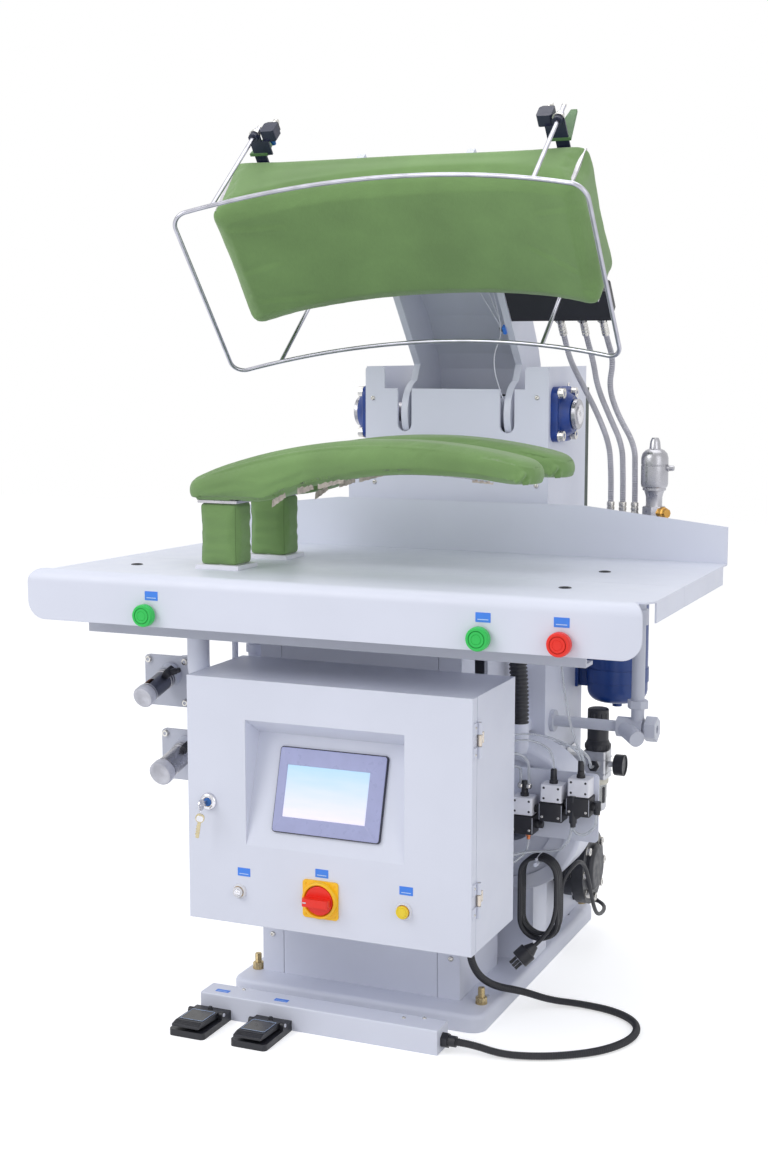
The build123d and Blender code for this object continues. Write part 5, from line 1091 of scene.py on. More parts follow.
# Covers, base and table
for name, face, radius, places in (
    ("column_cover_screws", column_face, 5.2, ((-194, 107), (171, 110), (-195, 682), (172, 683))),
    ("tower_plate_screws", tower_face, 4.8, ((-146, 1121), (203, 1125), (-142, 951), (203, 953))),
):
    socket_screws(name, [(x, face, z) for x, z in places], front, radius)
places = [(x, y, bar_top) for x, y in ((-185, -433), (138, -440), (172, -427))]
socket_screws("pedal_bar_screws", places, above, 3.6)
for part, y, reach, body in (("fixed", -472, 5, "machine_frame"), ("door", -500, 23, "cabinet_door")):
    places = [(292, y, z + up) for z in (571, 295) for up in (-reach, reach)]
    socket_screws(f"hinge_screws_{part}", places, right_way, 2.4, body)
for name, x, y in (("left", -218, -453), ("right", -98, -452)):
    label(f"bar_label_{name}", (x, y, bar_top), rear, 27, 11)
for index, x in enumerate((-294, 323, 455)):
    label(f"apron_label_{index + 1}", (x, apron_face, 790), above, 26, 16)
for index, (x, z) in enumerate(((-141, 297), (12, 313), (171, 302))):
    label(f"door_label_{index + 1}", (x, door_face, z), above, 25, 15, "cabinet_door")


def make_grommets():
    """Black rings in the table's three holes."""
    ring = [(-2.5, 7.6), (0.2, 7.9), (0.2, 11), (1.0, 10.6), (1.5, 9.4), (1.3, 7.0), (-2.5, 6.4)]
    for index, (x, y) in enumerate(((-399, -430), (418, -421), (421, -194))):
        lathe(f"table_grommet_{index + 1}", black, ring, mm(x, y, table_top), above, 28)


def make_levelling_feet():
    """Threads on the studs over the nuts, and the chamfered nuts themselves."""
    thread = [(44.3 + 0.75 * i, 6.55 if i % 2 else 5.95) for i in range(23)]
    thread += [(61.8, 5.6), (62.6, 4.6), (62.7, 0)]
    nut = [(34.6, 9.4), (34.7, 10.7), (44.0, 10.7), (45.0, 9.2), (45.1, 6.1)]
    places = [mm(x, y, 0) for x, y in ((-229, -290), (229, -290), (-229, 337), (229, 337))]
    for name, profile, sides in (("stud_threads", thread, 18), ("stud_nuts", nut, 6)):
        lathes(name, passivated, [(profile, place, above, sides) for place in places], smooth=20.0)


# Operator's side
panel_rise, panel_run = 195, 55
panel_up = Vector((0, panel_run, panel_rise)).normalized()
panel_out = Vector((0, -panel_rise, panel_run)).normalized()
panel_centre = mm(16, door_face + (448 - 347) * panel_run / panel_rise, 448)


def make_panel():
    """Touch panel: dark edge, and a lavender bezel round the set-in screen."""
    right = Vector(right_way)
    Piece("panel_edge_frame").plate(panel_centre, right, panel_up, 207.4, 151.4, 5.2, 6, 0.8).done(
        panel_edge, "cabinet_door",
    )
    screen_centre = panel_centre + right * -0.006 + panel_up * -0.0015
    loops = [
        rim(centre + panel_out * level, right, panel_up, width - 2 * inset, height - 2 * inset, corner)
        for centre, width, height, corner, steps in (
            (panel_centre, 204, 148, 5, ((0.0046, 0), (0.0064, 0), (0.0072, 1.0))),
            (screen_centre, 159, 92, 0.8, ((0.0072, -0.6), (0.0068, 0), (0.0055, 0.4))),
        )
        for level, inset in steps
    ]
    Piece("panel_bezel_face").rings(loops, capped=False).done(panel_bezel, "cabinet_door", smooth=30.0)
    Piece("panel_screen").plate(
        screen_centre + panel_out * 0.0048, right, panel_up, 159, 92, 1.2, 0.5, 0.1,
    ).done(screen, "cabinet_door")


def make_main_switch():
    """Raised yellow collar with a black plate painted as the shade in its lock slot, and screws round the red
    knob; pointer mark and ribs on its grip.
    """
    x, z, face = 10, 266, door_face - 3
    ring = [
        (-0.5, 33.4), (6.5, 32.6), (8.6, 31.0), (8.8, 29.6), (8.2, 28.2), (0.4, 27.2), (0.05, 26.8),
        (-0.5, 26.8),
    ]
    yellow = finishes["yellow_plastic"]
    lathe("switch_collar", yellow, ring, mm(x, face, z), front, 56, "cabinet_door", 50.0, True)
    # A thin black plate on the collar: painted shade where the lock slot is, not an opening
    Piece("switch_lock_slot_shade").plate(mm(x + 30.6, face, z), right_way, above, 2.4, 6.5, 0.3, 0.6, 0.05).done(
        black, "cabinet_door",
    )
    places = [(x + sx * 28, face, z + sz * 28) for sx, sz in corner_signs]
    socket_screws("switch_plate_screws", places, front, 2.0, "cabinet_door", yellow)
    grip_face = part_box("main_switch_knob")[0][1] * 1000
    Piece("switch_pointer").plate(mm(x - 19, grip_face, z), right_way, above, 7, 2.2, 0.25, 0.8, 0.05).done(
        white_cable, "main_switch",
    )
    rows = Piece("switch_grip_ribs")
    for side in (-1, 1):
        for i in range(5):
            place = mm(x - 14 + 7 * i, grip_face + 8, z + side * 7)
            rows.plate(place, (side, 0, 0), rear, 2.6, 12, 0.5, 0.6, 0.2)
    rows.done(finishes["red_plastic"], "main_switch")


def make_buttons():
    """Bezels and caps of the push buttons, and the faces of the palm buttons."""
    white_cap = [(-0.2, 6.6), (1.2, 6.4), (1.9, 5.4), (1.5, 4.3), (1.2, 3.2), (1.9, 2.6), (2.1, 0)]
    yellow_cap = [(-0.2, 11.3), (0.5, 11.0), (0.6, 9.2), (0.1, 8.8), (0.1, 8.2), (1.0, 7.6), (1.3, 0)]
    buttons = (
        ("white", -150, 261, 13.6, 10.2, white_cap, chrome),
        ("yellow", 167, 266, 15.6, 12.2, yellow_cap, yellow_lens),
    )
    for name, x, z, reach, hole, _, _ in buttons:
        ring = [
            (-0.3, reach), (1.2, reach), (3.2, reach - 1.0), (4.8, reach - 2.2), (5.4, reach - 2.9),
            (5.3, hole), (-0.3, hole),
        ]
        place, finish = mm(x, door_face, z), finishes["white_plastic"]
        lathe(f"{name}_button_bezel", finish, ring, place, front, 40, "cabinet_door", 50.0, True)
    for name, x, z, _, _, cap, finish in buttons:
        place = mm(x, door_face - 10, z)
        lathe(f"{name}_button_cap", finish, cap, place, front, 32, f"{name}_button", 50.0)
    face = [
        (-0.8, 18.6), (0.5, 18.2), (0.7, 14.4), (0.0, 13.9), (0.0, 13.2), (0.7, 12.7), (0.9, 9.0), (0.2, 8.5),
        (0.2, 7.9), (0.9, 7.4), (1.2, 0),
    ]
    for body, x, colour in (("palm_left", -304, "green"), ("palm_right", 318, "green"), ("stop", 454, "red")):
        place = mm(x, apron_face - 18, 756)
        lathe(f"{body}_face", finishes[f"{colour}_plastic"], face, place, front, 40, body, 50.0)


def make_lock():
    """The lock's rosette and blue cap, and the ring with the spare key that hangs from the key in it."""
    x, z = -210, 419
    rosette = [
        (-0.3, 16), (2.5, 16), (5.0, 15.2), (6.6, 13.2), (7.3, 10.2), (7.1, 8.8), (5.6, 8.45), (-0.3, 8.45),
    ]
    lathe("lock_rosette", chrome, rosette, mm(x, door_face, z), front, 44, "cabinet_door", 50.0, True)
    cap = [(-0.4, 8.0), (0.8, 7.8), (1.8, 6.8), (2.2, 4.6), (2.3, 0)]
    lathe("lock_cap", blue_cap, cap, mm(x, door_face - 6, z), front, 32, "lock_key", 50.0)
    # A pear-shaped ring and the spare key hang straight down from the bow's hole, however the key is turned
    hole, across, faced = mm(x, -542, z), Vector((0.766, -0.643, 0)), Vector((0.966, 0.259, 0))
    neck = [(1.8 * cos(radians(a)), 1.8 * sin(radians(a))) for a in range(0, 181, 15)]
    bulge = [(4.5 * cos(radians(a)), 4.5 * sin(radians(a)) - 13.5) for a in range(140, 401, 20)]
    legs = [(-1.8, -4.5), (-1.8, -9.0)], [(1.8, -9.0), (1.8, -4.5)]
    ring = [hole + mm(px, 0, pz) for px, pz in neck + legs[0]]
    ring += [hole + across * (px / 1000) + mm(0, 0, pz) for px, pz in bulge]
    ring += [hole + mm(px, 0, pz) for px, pz in legs[1]]
    Piece("key_ring").tube(ring, 0.0005, 8, closed=True).done(chrome, "cabinet_door")
    lean = (Vector(above) + 0.16 * faced).normalized()
    level = (faced - lean * faced.dot(lean)).normalized()
    out = level.cross(lean)
    spare, top = Piece("spare_key"), hole - mm(0, 0, 18) - out * 0.0009
    spare.plate(top - lean * 0.0052, level, lean, 16.5, 17, 1.8, 7.4, 0.4)
    spare.plate(top - lean * 0.0275, level, lean, 6.4, 29, 1.5, 1.4, 0.3)
    for i in range(4):
        notch = top - lean * (0.021 + 0.0048 * i) - level * 0.0032
        spare.plate(notch, level, lean, 2.4 + 0.5 * (i % 2), 2.6, 1.1, 0.3, 0.2)
    spare.done(key_metal, "cabinet_door", smooth=30.0)
    grip = Piece("spare_key_grip")
    grip.plate(top - lean * 0.0062 - out * 0.0002, level, lean, 13, 11, 2.2, 4.6, 0.3)
    grip.done(chrome, "cabinet_door")


def make_pedal_fittings():
    """Glossy tread with its fine border, ribs on the nose, pin screws and the lead's entry."""
    tread_up = Vector((0, 0.9998, -0.02))
    entry = [(-1, 5.0), (3, 5.0), (4, 4.4), (6, 4.2), (7, 3.0), (7.2, 0)]
    for side, x in (("left", -227.0), ("right", -103.0)):
        body = f"treadle_{side}"
        centre = mm(x, -532, 25.75)
        tread = Piece(f"tread_{side}").plate(centre, right_way, tread_up, 48, 50, 0.7, 2.5, 0.3)
        tread.done(gloss_black, body)
        border = [point + Vector((0, 0, 0.0008)) for point in rim(centre, right_way, tread_up, 46, 48, 2)]
        Piece(f"tread_border_{side}").tube(border, 0.00035, 6, closed=True).done(label_white, body)
        ribs = Piece(f"tread_ribs_{side}")
        for i in range(3):
            place = mm(x, -564.5 - 4 * i, 26.2 - 0.9 * i)
            ribs.plate(place, right_way, (0, 0.98, 0.2), 50, 1.8, 0.9, 0.6, 0.3)
        ribs.done(black, body)
        socket_screws(f"pedal_screw_{side}", [(x + 35.5, -500, 20)], right_way, 3.4, finish=white_cable)
        lathe(f"pedal_knob_{side}", rubber, entry, mm(x, -486, 19), above, 20)


# Left side: valves on the suction pipes
def make_actuator_fittings():
    """Steel sleeves, bands, cast end caps, limit sensors, one blank sticker, and the valves' bolts."""
    places = (-411.0, 586.0, 18.0, dark_steel), (-376.0, 443.0, 21.0, satin_steel)
    for index, (x, z, radius, steel) in enumerate(places):
        way = Vector((-0.06, -cos(radians(17)), -sin(radians(17)))).normalized()
        start = mm(x + 10, -306, z + 16)
        side, lift, _ = square_to(way)
        up = lift if lift.z > 0 else -lift
        right = side if side.x > 0 else -side
        sleeve = [(20, radius + 0.5), (90, radius + 0.5)]
        lathe(f"actuator_sleeve_{index + 1}", steel, sleeve, start, way, 40)
        bands = [
            [(along + step, radius + rise) for step, rise in ((0, 0.4), (0.4, 1.5), (3.0, 1.5), (3.4, 0.4))]
            for along in (23, 30, 82)
        ]
        lathes(f"actuator_bands_{index + 1}", satin_steel, [(band, start, way, 40) for band in bands])
        cap = [
            (88, radius + 2.2), (89, radius + 2.8), (103, radius + 2.8), (105.4, radius + 1.4),
            (105.8, radius - 3), (105.2, radius - 4), (105.2, 0),
        ]
        lathe(f"actuator_cap_{index + 1}", cast_white, cap, start, way, 44)
        out = (up * 0.75 + right * 0.66).normalized()
        base = start + way * 0.030 + out * (radius + 0.3) / 1000
        tip = base + out * 0.0055 + right * 0.004
        sensor = Piece(f"actuator_sensor_{index + 1}")
        sensor.plate(base, way.cross(out), way, 15, 27, 11, 2.5, 1.0)
        gland = [(0, 6.5), (10, 6.5), (11, 5.4), (17, 5.2), (19, 3.2)]
        sensor.turned(gland, tip, (right * 0.8 - way * 0.5 + up * 0.1), 6)
        sensor.done(black, smooth=25.0)
        if index == 0:
            angles = [radians(78 + 8 * i) for i in range(7)]
            Piece("actuator_sticker").sheet([
                [start + way * along + (radius + 0.9) / 1000 * (cos(a) * right + sin(a) * up) for a in angles]
                for along in (0.064, 0.086)
            ], 0.0002).done(orange)
    for index, (x, z) in enumerate(((-411, 586), (-376, 443))):
        corners = [(x + sx * 40, -308, z + sz * 40) for sx, sz in corner_signs]
        cap_bolts(f"valve_plate_bolts_{index + 1}", corners, front, 6.4, 5.4)


# Right side: air and steam
valve_y = -104.0
valve_places = ((246.0, 326.0), (303.0, 356.0), (356.0, 372.0))


def make_solenoids():
    """White coils over black valve bodies, with their screws, elbows and nipples, and black discs on the
    coils painted as the shade in their holes.
    """
    y = valve_y
    bodies, coils, screws, holes, fittings = Piece("valve_bodies"), Piece("valve_coils"), [], [], []
    hole = [(-0.5, 2.3), (0.12, 2.3), (0.14, 0)]
    screw = [(-0.3, 2.6), (1.0, 2.5), (1.5, 1.8), (0.8, 1.3), (0.8, 0)]
    elbow = [(0, 8.6), (7, 8.6), (8, 7.6), (14, 7.4), (15.4, 6.2), (15.4, 3.4)]
    stem = [(-1, 8.4), (6, 8.2), (7, 6.6), (13, 6.4), (14, 5.0)]
    for x, z in valve_places:
        bodies.plate(mm(x, y, z - 17.6), right_way, rear, 45.2, 41.2, 35.2, 3.0, 0.8)
        coils.plate(mm(x, y, z + 19.0), right_way, rear, 41.4, 35.4, 33.4, 3.0, 1.0)
        # Black discs on the coils' faces: painted shade where the holes are, not real holes
        holes += [(hole, mm(x + sx * 14, y - 17.7, z + 36 + sz * 10), front, 14) for sx, sz in corner_signs]
        screws += [(screw, mm(x + sx * 16, y - 20.6, z - 9), front, 14) for sx in (-1, 1)]
        fittings += [(elbow, mm(x + sx * 22, y, z), (sx, 0, 0), 20) for sx in (-1, 1)]
        fittings.append((stem, mm(x, y, z + 52), above, 20))
    bodies.done(finishes["valve_plastic"], smooth=25.0)
    coils.done(coil_white, smooth=25.0)
    lathes("valve_screws", zinc, screws)
    lathes("valve_hole_shades", black, holes)
    lathes("valve_fittings", finishes["valve_plastic"], fittings)
    # Elbows, the drop leg under the third valve and its tee
    drop_y = y - 14
    tee = [(0, 6.6), (10, 7.4), (26, 7.2), (28, 5.4), (34, 5.2), (34.6, 3.0)]
    lathes("tube_elbows", black, [
        ([(0, 6.2), (length, 6.0), (length + 2, 5.0), (length + 2.4, 2.4)], mm(x, y, z), above, 18)
        for x, z, length in ((246, 392, 14), (303, 422, 12), (356, 438, 16))
    ] + [
        ([(0, 7.6), (16, 7.6), (17, 6.4), (24, 6.0), (24.6, 3.2)], mm(388, y, 381), below, 18),
        ([(0, 7.2), (12, 7.2), (13, 6.0)], mm(346, drop_y, 392), below, 18),
        (tee, mm(346, drop_y, 366), below, 18),
        ([(0, 4.6), (12, 4.6), (13, 3.2)], mm(350, drop_y, 350), (0.8, 0, 0.6), 16),
    ])
    nipple = [(0, 4.4), (3, 6.2), (8, 6.2), (10, 4.0)]
    lathes("tube_nipples", zinc, [
        ([(0, 4.8), (2, 5.6), (9, 5.6), (11, 4.4), (16, 4.2)], mm(346, drop_y, 380), below, 16),
        (nipple, mm(238, y, 393), above, 16), (nipple, mm(254, y, 393), above, 16),
    ])
    bleed = [(0, 5.4), (4, 5.4), (5, 3.8), (11, 3.4)]
    lathe("bleed_fitting", copper, bleed, mm(257, y - 8, 308), below, 14)


# Each tube's radius in millimetres, its length in metres, and its points in millimetres
air_tubes = (
    (2.8, 0.159, ((188.6, -190, 445), (208, -176, 458), (236, -138, 470), (255, -112, 452), (254, -104, 420),
                  (254, -104, 402))),
    (2.8, 0.143, ((188.6, -205, 424), (206, -190, 432), (226, -146, 444), (240, -112, 436), (238, -104, 418),
                  (238, -104, 402))),
    (2.0, 0.178, ((188.6, -182, 474), (210, -168, 486), (250, -122, 494), (290, -104, 478), (303, -104, 456),
                  (303, -104, 435))),
    (2.0, 0.206, ((188.6, -170, 490), (212, -150, 500), (262, -114, 504), (322, -106, 490), (354, -104, 470),
                  (356, -104, 453))),
    (2.2, 0.361, ((306, -100, 803), (306, -100, 760), (309, -101, 690), (318, -103, 600), (334, -104, 520),
                  (350, -102, 478), (361, -104, 462), (362, -104, 450))),
    (2.8, 0.077, ((388, -104, 357), (388, -104, 346), (384, -106, 330), (370, -112, 318), (356, -118, 318),
                  (347, -118, 326), (346, -118, 331))),
    (2.6, 0.211, ((343, -118, 331), (342, -118, 316), (334, -116, 296), (314, -112, 280), (286, -110, 276),
                  (250, -118, 272), (214, -150, 262), (188.6, -176, 258))),
    (2.4, 0.126, ((257, -112, 298), (257, -112, 286), (252, -116, 268), (232, -136, 252), (206, -166, 240),
                  (188.6, -180, 238))),
    (3.0, 0.210, ((287, 216, 367), (287, 206, 367), (288, 190, 370), (296, 166, 384), (300, 132, 408),
                  (292, 96, 430), (268, 82, 440), (240, 80, 442), (227, 90, 442))),
)


def make_air_tubes():
    """Clear tubes between the fittings of valves, regulator and covers."""
    for number, (radius, length, points) in enumerate(air_tubes, start=1):
        wire(f"air_tube_{number}", points, radius, length, clear_tube)


def make_service_unit():
    """Regulator's collar and plates, bowl with windows and drain, gauge's dial, ticks and bezel."""
    x, y, port_z = 287.0, 247.0, 367
    collar = [(-0.5, 24.5), (3, 26.5), (13, 26.5), (15, 24.6), (20, 23.0), (21, 22.2), (21.1, 12)]
    lathe("regulator_collar", black, collar, mm(x, y, 396), above, 40)
    ribs = Piece("regulator_collar_ribs")
    for i in range(24):
        turn = 2 * pi * i / 24
        place, aside = mm(x + 26.4 * cos(turn), y + 26.4 * sin(turn), 404.5), (-sin(turn), cos(turn), 0)
        ribs.plate(place, aside, above, 2.4, 8, 0.8, 0.5, 0.2)
    ribs.done(black)
    faces = Piece("regulator_plates")
    for place, aside in (((x, y - 24), right_way), ((x + 24, y), rear)):
        for z in (379, 349):
            faces.plate(mm(*place, z), aside, above, 44, 3, 0.8, 0.6, 0.3)
    faces.done(finishes["regulator_alloy"])
    bowl = [(0, 20.0), (40, 20.0), (56, 18.8), (66, 15.0), (72.6, 9.0), (73, 5)]
    lathe("filter_bowl", clear_bowl, bowl, mm(x, y, 338), below, 40, smooth=50.0)
    collar = [(-0.5, 22.6), (1.2, 23.4), (11, 23.4), (13, 22.0), (13.2, 20.2)]
    lathe("bowl_collar", bowl_cream, collar, mm(x, y, 338), below, 40)
    for index, (angle, finish) in enumerate(((-0.55, black), (-1.9, bowl_cream))):
        out = Vector((cos(angle), sin(angle), 0))
        Piece(f"bowl_window_{index + 1}").plate(
            mm(x, y, 303) + out * 0.0196, (-sin(angle), cos(angle), 0), above, 6, 34, 1.4, 2.8, 0.4,
        ).done(finish)
    drain = [(-1, 6.0), (3, 7.2), (7, 7.2), (9, 5.6), (13, 4.6), (16, 2.0), (16.4, 0)]
    lathe("bowl_drain", brass, drain, mm(x, y, 264), below, 24)
    dial = [(-0.2, 18.7), (0.5, 18.6), (0.6, 0)]
    lathe("gauge_dial", white_cable, dial, mm(339.1, y, port_z), right_way, 36)
    ticks = Piece("gauge_ticks")
    for i in range(31):
        turn = radians(-135 + 9 * i)
        out, aside = Vector((0, sin(turn), cos(turn))), Vector((0, cos(turn), -sin(turn)))
        width, length = (0.7, 2.4) if i % 5 else (1.0, 4.2)
        place = mm(339.75, y, port_z) + out * (16.6 - length / 2) / 1000
        ticks.plate(place, aside, out, width, length, 0.08, 0.1, 0.01)
    ticks.done(black)
    bezel = [(-0.6, 22.4), (1.4, 22.4), (2.0, 21.6), (1.6, 19.6), (-2, 19.0)]
    lathe("gauge_bezel", black, bezel, mm(343.4, y, port_z), right_way, 40)
    nut = [(-0.4, 12.4), (3.6, 12.4), (5.2, 11.2), (5.4, 7.0), (4.6, 6.6)]
    lathe("regulator_port_nut", black, nut, mm(x, y - 28.8, port_z), front, 6, smooth=25.0)


def make_trap_bolts():
    """Eight bolts and nuts round the steam trap's cover, and its raised ring."""
    x, y, z = 300, 180, 165
    places = [(x, y + 62.25 * cos(pi * i / 4), z + 62.25 * sin(pi * i / 4)) for i in range(8)]
    cap_bolts("trap_bolts", places, right_way, 8.5, 8.2)
    cap_bolts("trap_nuts", [(x - 24, py, pz) for _, py, pz in places], left_way, 7.2, 6.0, 6)
    ring = [(-0.4, 47), (0.8, 47.4), (1.8, 46), (2.0, 40)]
    lathe("trap_boss_ring", cast_black, ring, mm(x, y, z), right_way, 44)


def make_bearing_fittings():
    """Plated bolts on both flange bearings, grease nipples and the shaft's locking collars."""
    y, z = head_pivot[1], head_pivot[2]
    nipple = [(0, 2.6), (4, 2.6), (5, 1.8), (7, 2.4), (9, 1.2)]
    collar = [(0, 19.6), (0.2, 29), (1.2, 30), (9, 30), (10.4, 28.6), (10.6, 19.6)]
    centre = [(-0.2, 18.8), (0.2, 18.4), (0.3, 5.0), (-0.1, 4.4), (-0.1, 0)]
    screw = [(-0.5, 3.4), (0.3, 3.2), (0.1, 1.8), (-0.6, 1.6), (-0.6, 0)]
    for side, face, name, end in ((-1, -162.0, "left", 0), (1, 227.0, "right", 1)):
        way = (side, 0, 0)
        places = [(face + side * 13.6, y + sy * 41, z + sz * 41) for sy, sz in corner_signs]
        cap_bolts(f"bearing_bolts_{name}", places, way, 10.8, 11.4)
        lathe(f"grease_nipple_{name}", zinc, nipple, mm(face + side * 8, y + 34, z + 52), (0, 0.4, 1), 12)
        lathe(f"shaft_collar_{name}", satin_steel, collar, mm(face + side * 32.6, y, z), way, 44, "head")
        end_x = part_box("pivot_shaft")[end][0] * 1000
        lathe(f"shaft_end_{name}", chrome, centre, mm(end_x, y, z), way, 32, "head")
        place = mm(face + side * 38, y - 21.3, z + 21.3)
        lathe(f"collar_screw_{name}", dark_steel, screw, place, (0, -1, 1), 14, "head")


guard_front_y = -488.0
rod_tops = (
    (-259.0, guard_front_y, 1182.0), (331.0, guard_front_y, 1197.0), (-245.0, -121.0, 1182.0),
    (270.0, -121.0, 1182.0),
)


def make_guard_fittings():
    """Steel sleeves on the rod guides, green ears, and limit switches with rollers."""
    up, out, across = opened_way(above), opened_way(rear), opened_way(right_way)
    sleeve = [(-0.2, 11.2), (0.8, 11.4), (2.0, 9.8), (7.6, 9.6), (8.4, 8.8), (8.5, 4.9), (-0.2, 4.9)]
    for index, (x, y, top) in enumerate(rod_tops):
        lathe(f"guide_sleeve_{index + 1}", zinc, sleeve, opened((x, y, 1154)), up, 24, "head", hollow=True)
        cap = [(-3, 4.3), (0, 4.3), (1.2, 3.4), (1.5, 0)]
        lathe(f"rod_cap_{index + 1}", zinc, cap, opened((x, y, top)), up, 20, "guard")
        if y != guard_front_y:
            continue
        outline = ((-20, -0.5, -1, 0), (16, -0.5, 1, 0), (6, 88, 1, 1), (-4, 88, -1, 1))
        loops = [
            [opened((x + (px + wide * grow), y, 1150 + (pz + high * grow))) for px, pz, wide, high in outline]
            for y, grow in ((-446.8, 0.0), (-447.2, 0.7), (-452.8, 0.7), (-453.2, 0.0))
        ]
        Piece(f"green_ear_{index + 1}").rings(loops).done(finishes["bracket_green"], "head", smooth=25.0)
        switch_x = x + (-26 if x > 0 else 26)
        Piece(f"limit_switch_top_{index + 1}").plate(
            opened((switch_x, -485, 1184.2)), across, out, 24, 19, 5, 3, 1.2,
        ).done(black, "head", smooth=25.0)
        lathes(f"limit_switch_roller_{index + 1}", zinc, [
            ([(0, 3.4), (9, 3.4), (10, 2.4)], opened((switch_x, -485, 1189)), up, 16),
            ([(-4, 5.6), (-3.4, 6.0), (3.4, 6.0), (4, 5.6)], opened((switch_x, -485, 1201)), across, 20),
        ], "head")
        gland, place = [(0, 6.4), (6, 6.2), (7, 4.8), (13, 4.2), (14, 2.6)], opened((switch_x, -472, 1168))
        lathe(f"limit_switch_gland_{index + 1}", blue_cap, gland, place, out, 16, "head")


def make_hose_fittings():
    """Plated nuts and crimped ferrules at both ends of the steam hoses."""
    out = opened_way(rear)
    nut = [(0, 10.6), (1, 11.2), (13.6, 11.2), (15.2, 9.6), (15.6, 7.2)]
    header_nut = [(0, 10.6), (19, 10.6), (20.4, 9.0), (20.6, 6.0)]
    sleeve = [(0, 7.4), (14, 7.4), (15, 6.8)]
    ferrule = [
        (0, 7.6), (3, 7.6), (3.6, 7.0), (6, 7.0), (6.6, 7.7), (11, 7.7), (11.6, 7.0), (14, 7.0), (14.6, 7.7),
        (21, 7.6), (22, 6.4),
    ]
    starts, ends = [start for start, _, _ in hose_ends], [end for _, end, _ in hose_ends]
    lathes("hose_nuts_head", zinc, [(nut, opened((x, -40, 1180)), out, 6) for x in starts], "head", 25.0)
    lathes("hose_ferrules_head", zinc, [
        (profile, opened((x, y, 1180)), out, 20)
        for x in starts for profile, y in ((sleeve, -25), (ferrule, -12))
    ], "head")
    lathes("hose_nuts_header", zinc, [(header_nut, mm(x, 118, 882), above, 6) for x in ends], smooth=25.0)
    lathes("hose_ferrules_header", zinc, [(ferrule, mm(x, 118, 902), above, 20) for x in ends])


# Each lead's length in metres, and its points in millimetres in the head's closed position
arm_leads = (
    (0.202, ((70, -212, 1160), (71, -205, 1168), (84, -150, 1166), (110, -70, 1161), (124, -30, 1157),
             (125, -20, 1154))),
    (0.195, ((104, -212, 1160), (105, -205, 1168), (110, -150, 1166), (120, -70, 1162), (126, -30, 1159),
             (126.5, -20, 1156))),
    (0.361, ((126, -212, 1160), (126, -205, 1168), (125.5, -150, 1166), (125.5, -70, 1160),
             (125.5, -22, 1154))),
)
# The third lead goes on from the clip to the hub; these points are where the head rests
arm_lead_end = [
    (125, 69, 1233), (120, 55, 1210), (121, 55, 1176), (128, 63, 1146), (131.5, 73, 1126), (131.6, 84, 1118),
    (132.4, 96, 1104),
]


def make_arm_leads():
    """Three thin white leads from the head, a blue clip on the right arm, and one lead on into the slot."""
    up, along = opened_way(above), opened_way(rear)
    gland = [(-1, 4.2), (2, 4.2), (3, 3.4), (6, 2.6), (6.4, 1.3)]
    places = [opened((points[0][0], -212, 1156)) for _, points in arm_leads]
    lathes("arm_lead_glands", black, [(gland, place, up, 16) for place in places], "head")
    for number, (length, points) in enumerate(arm_leads, start=1):
        places = [tuple(1000 * opened(point)) for point in points] + (arm_lead_end if number == 3 else [])
        wire(f"arm_lead_{number}", places, 1.1, length, white_cable, "head")
    Piece("arm_clip").plate(opened((134.4, -22, 1157)), -along, up, 17, 11, 6.6, 1.2, 0.8).done(
        label_blue, "head", smooth=25.0,
    )
    loop = [(-3.2, 3.6), (-3.2, 4.6), (3.2, 4.6), (3.2, 3.6)]
    lathe("arm_clip_loop", black, loop, opened((126, -24, 1156.5)), along, 20, "head", hollow=True)
    grommet = [(-0.6, 3.6), (1.6, 3.6), (2.4, 2.8)]
    lathe("arm_lead_grommet", black, grommet, mm(134.5, 96, 1104), left_way, 18, "head")


def tie_round(name, places, way, reach):
    """A narrow plastic tie drawn round a bundle."""
    centre = sum(places, Vector()) / len(places)
    way = Vector(way).normalized()
    line = (places[-1] - places[0])
    line = (line - way * line.dot(way)).normalized()
    across = way.cross(line)
    half = max(abs((place - centre).dot(line)) for place in places) + reach
    deep = max(abs((place - centre).dot(across)) for place in places) + reach
    turns = [2 * pi * i / 40 for i in range(40)]
    loop = [centre + line * half * cos(turn) + across * deep * sin(turn) for turn in turns]
    made = Piece(name).tube(loop, 0.0009, 6, closed=True)
    made.plate(centre + line * half, across, way, 5, 5, 3.4, 0.6, 0.4)
    made.turned([(0, 1.0), (14, 0.8), (14.4, 0)], centre + line * half, line * 0.4 + across, 6)
    return made.done(white_cable)


def make_angle_valve():
    """Turned steel actuator over a hexagon neck, with its groove, dome and vent."""
    x, y, z = 428.0, 118.0, 892.0
    neck = [(0, 21.5), (1, 23), (24, 23), (26, 21)]
    actuator = [
        (25, 16.0), (30, 15.6), (44, 15.8), (50, 17.4), (56, 19.6), (57, 22.4), (62, 22.6), (64, 25.0),
        (70, 26.2), (104, 26.2), (104.6, 25.4), (106.4, 25.4), (107, 26.2), (120, 26.0), (128, 23.6),
        (134, 18.0), (136.5, 12.4), (137, 11.0), (150, 9.6), (155, 7.8), (158, 6.0), (158.4, 0),
    ]
    port = [(22, 6.4), (28, 6.6), (29, 5.6), (36, 5.4), (38, 4.4)]
    union = [(14, 10.2), (16, 12.2), (28, 12.2), (30, 9.4), (36, 9.0)]
    made = [
        lathe("angle_valve_body", satin_steel, neck, mm(x, y, z), above, 6, smooth=20.0),
        lathe("angle_valve_actuator", satin_steel, actuator, mm(x, y, z), above, 48, smooth=32.0),
        lathe("angle_valve_port", satin_steel, port, mm(x, y, z + 100), right_way, 16),
    ]
    lathe("angle_valve_union", brass, union, mm(x, y, z + 14), (0.86, -0.5, 0), 8, smooth=25.0)
    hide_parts("angle_valve")


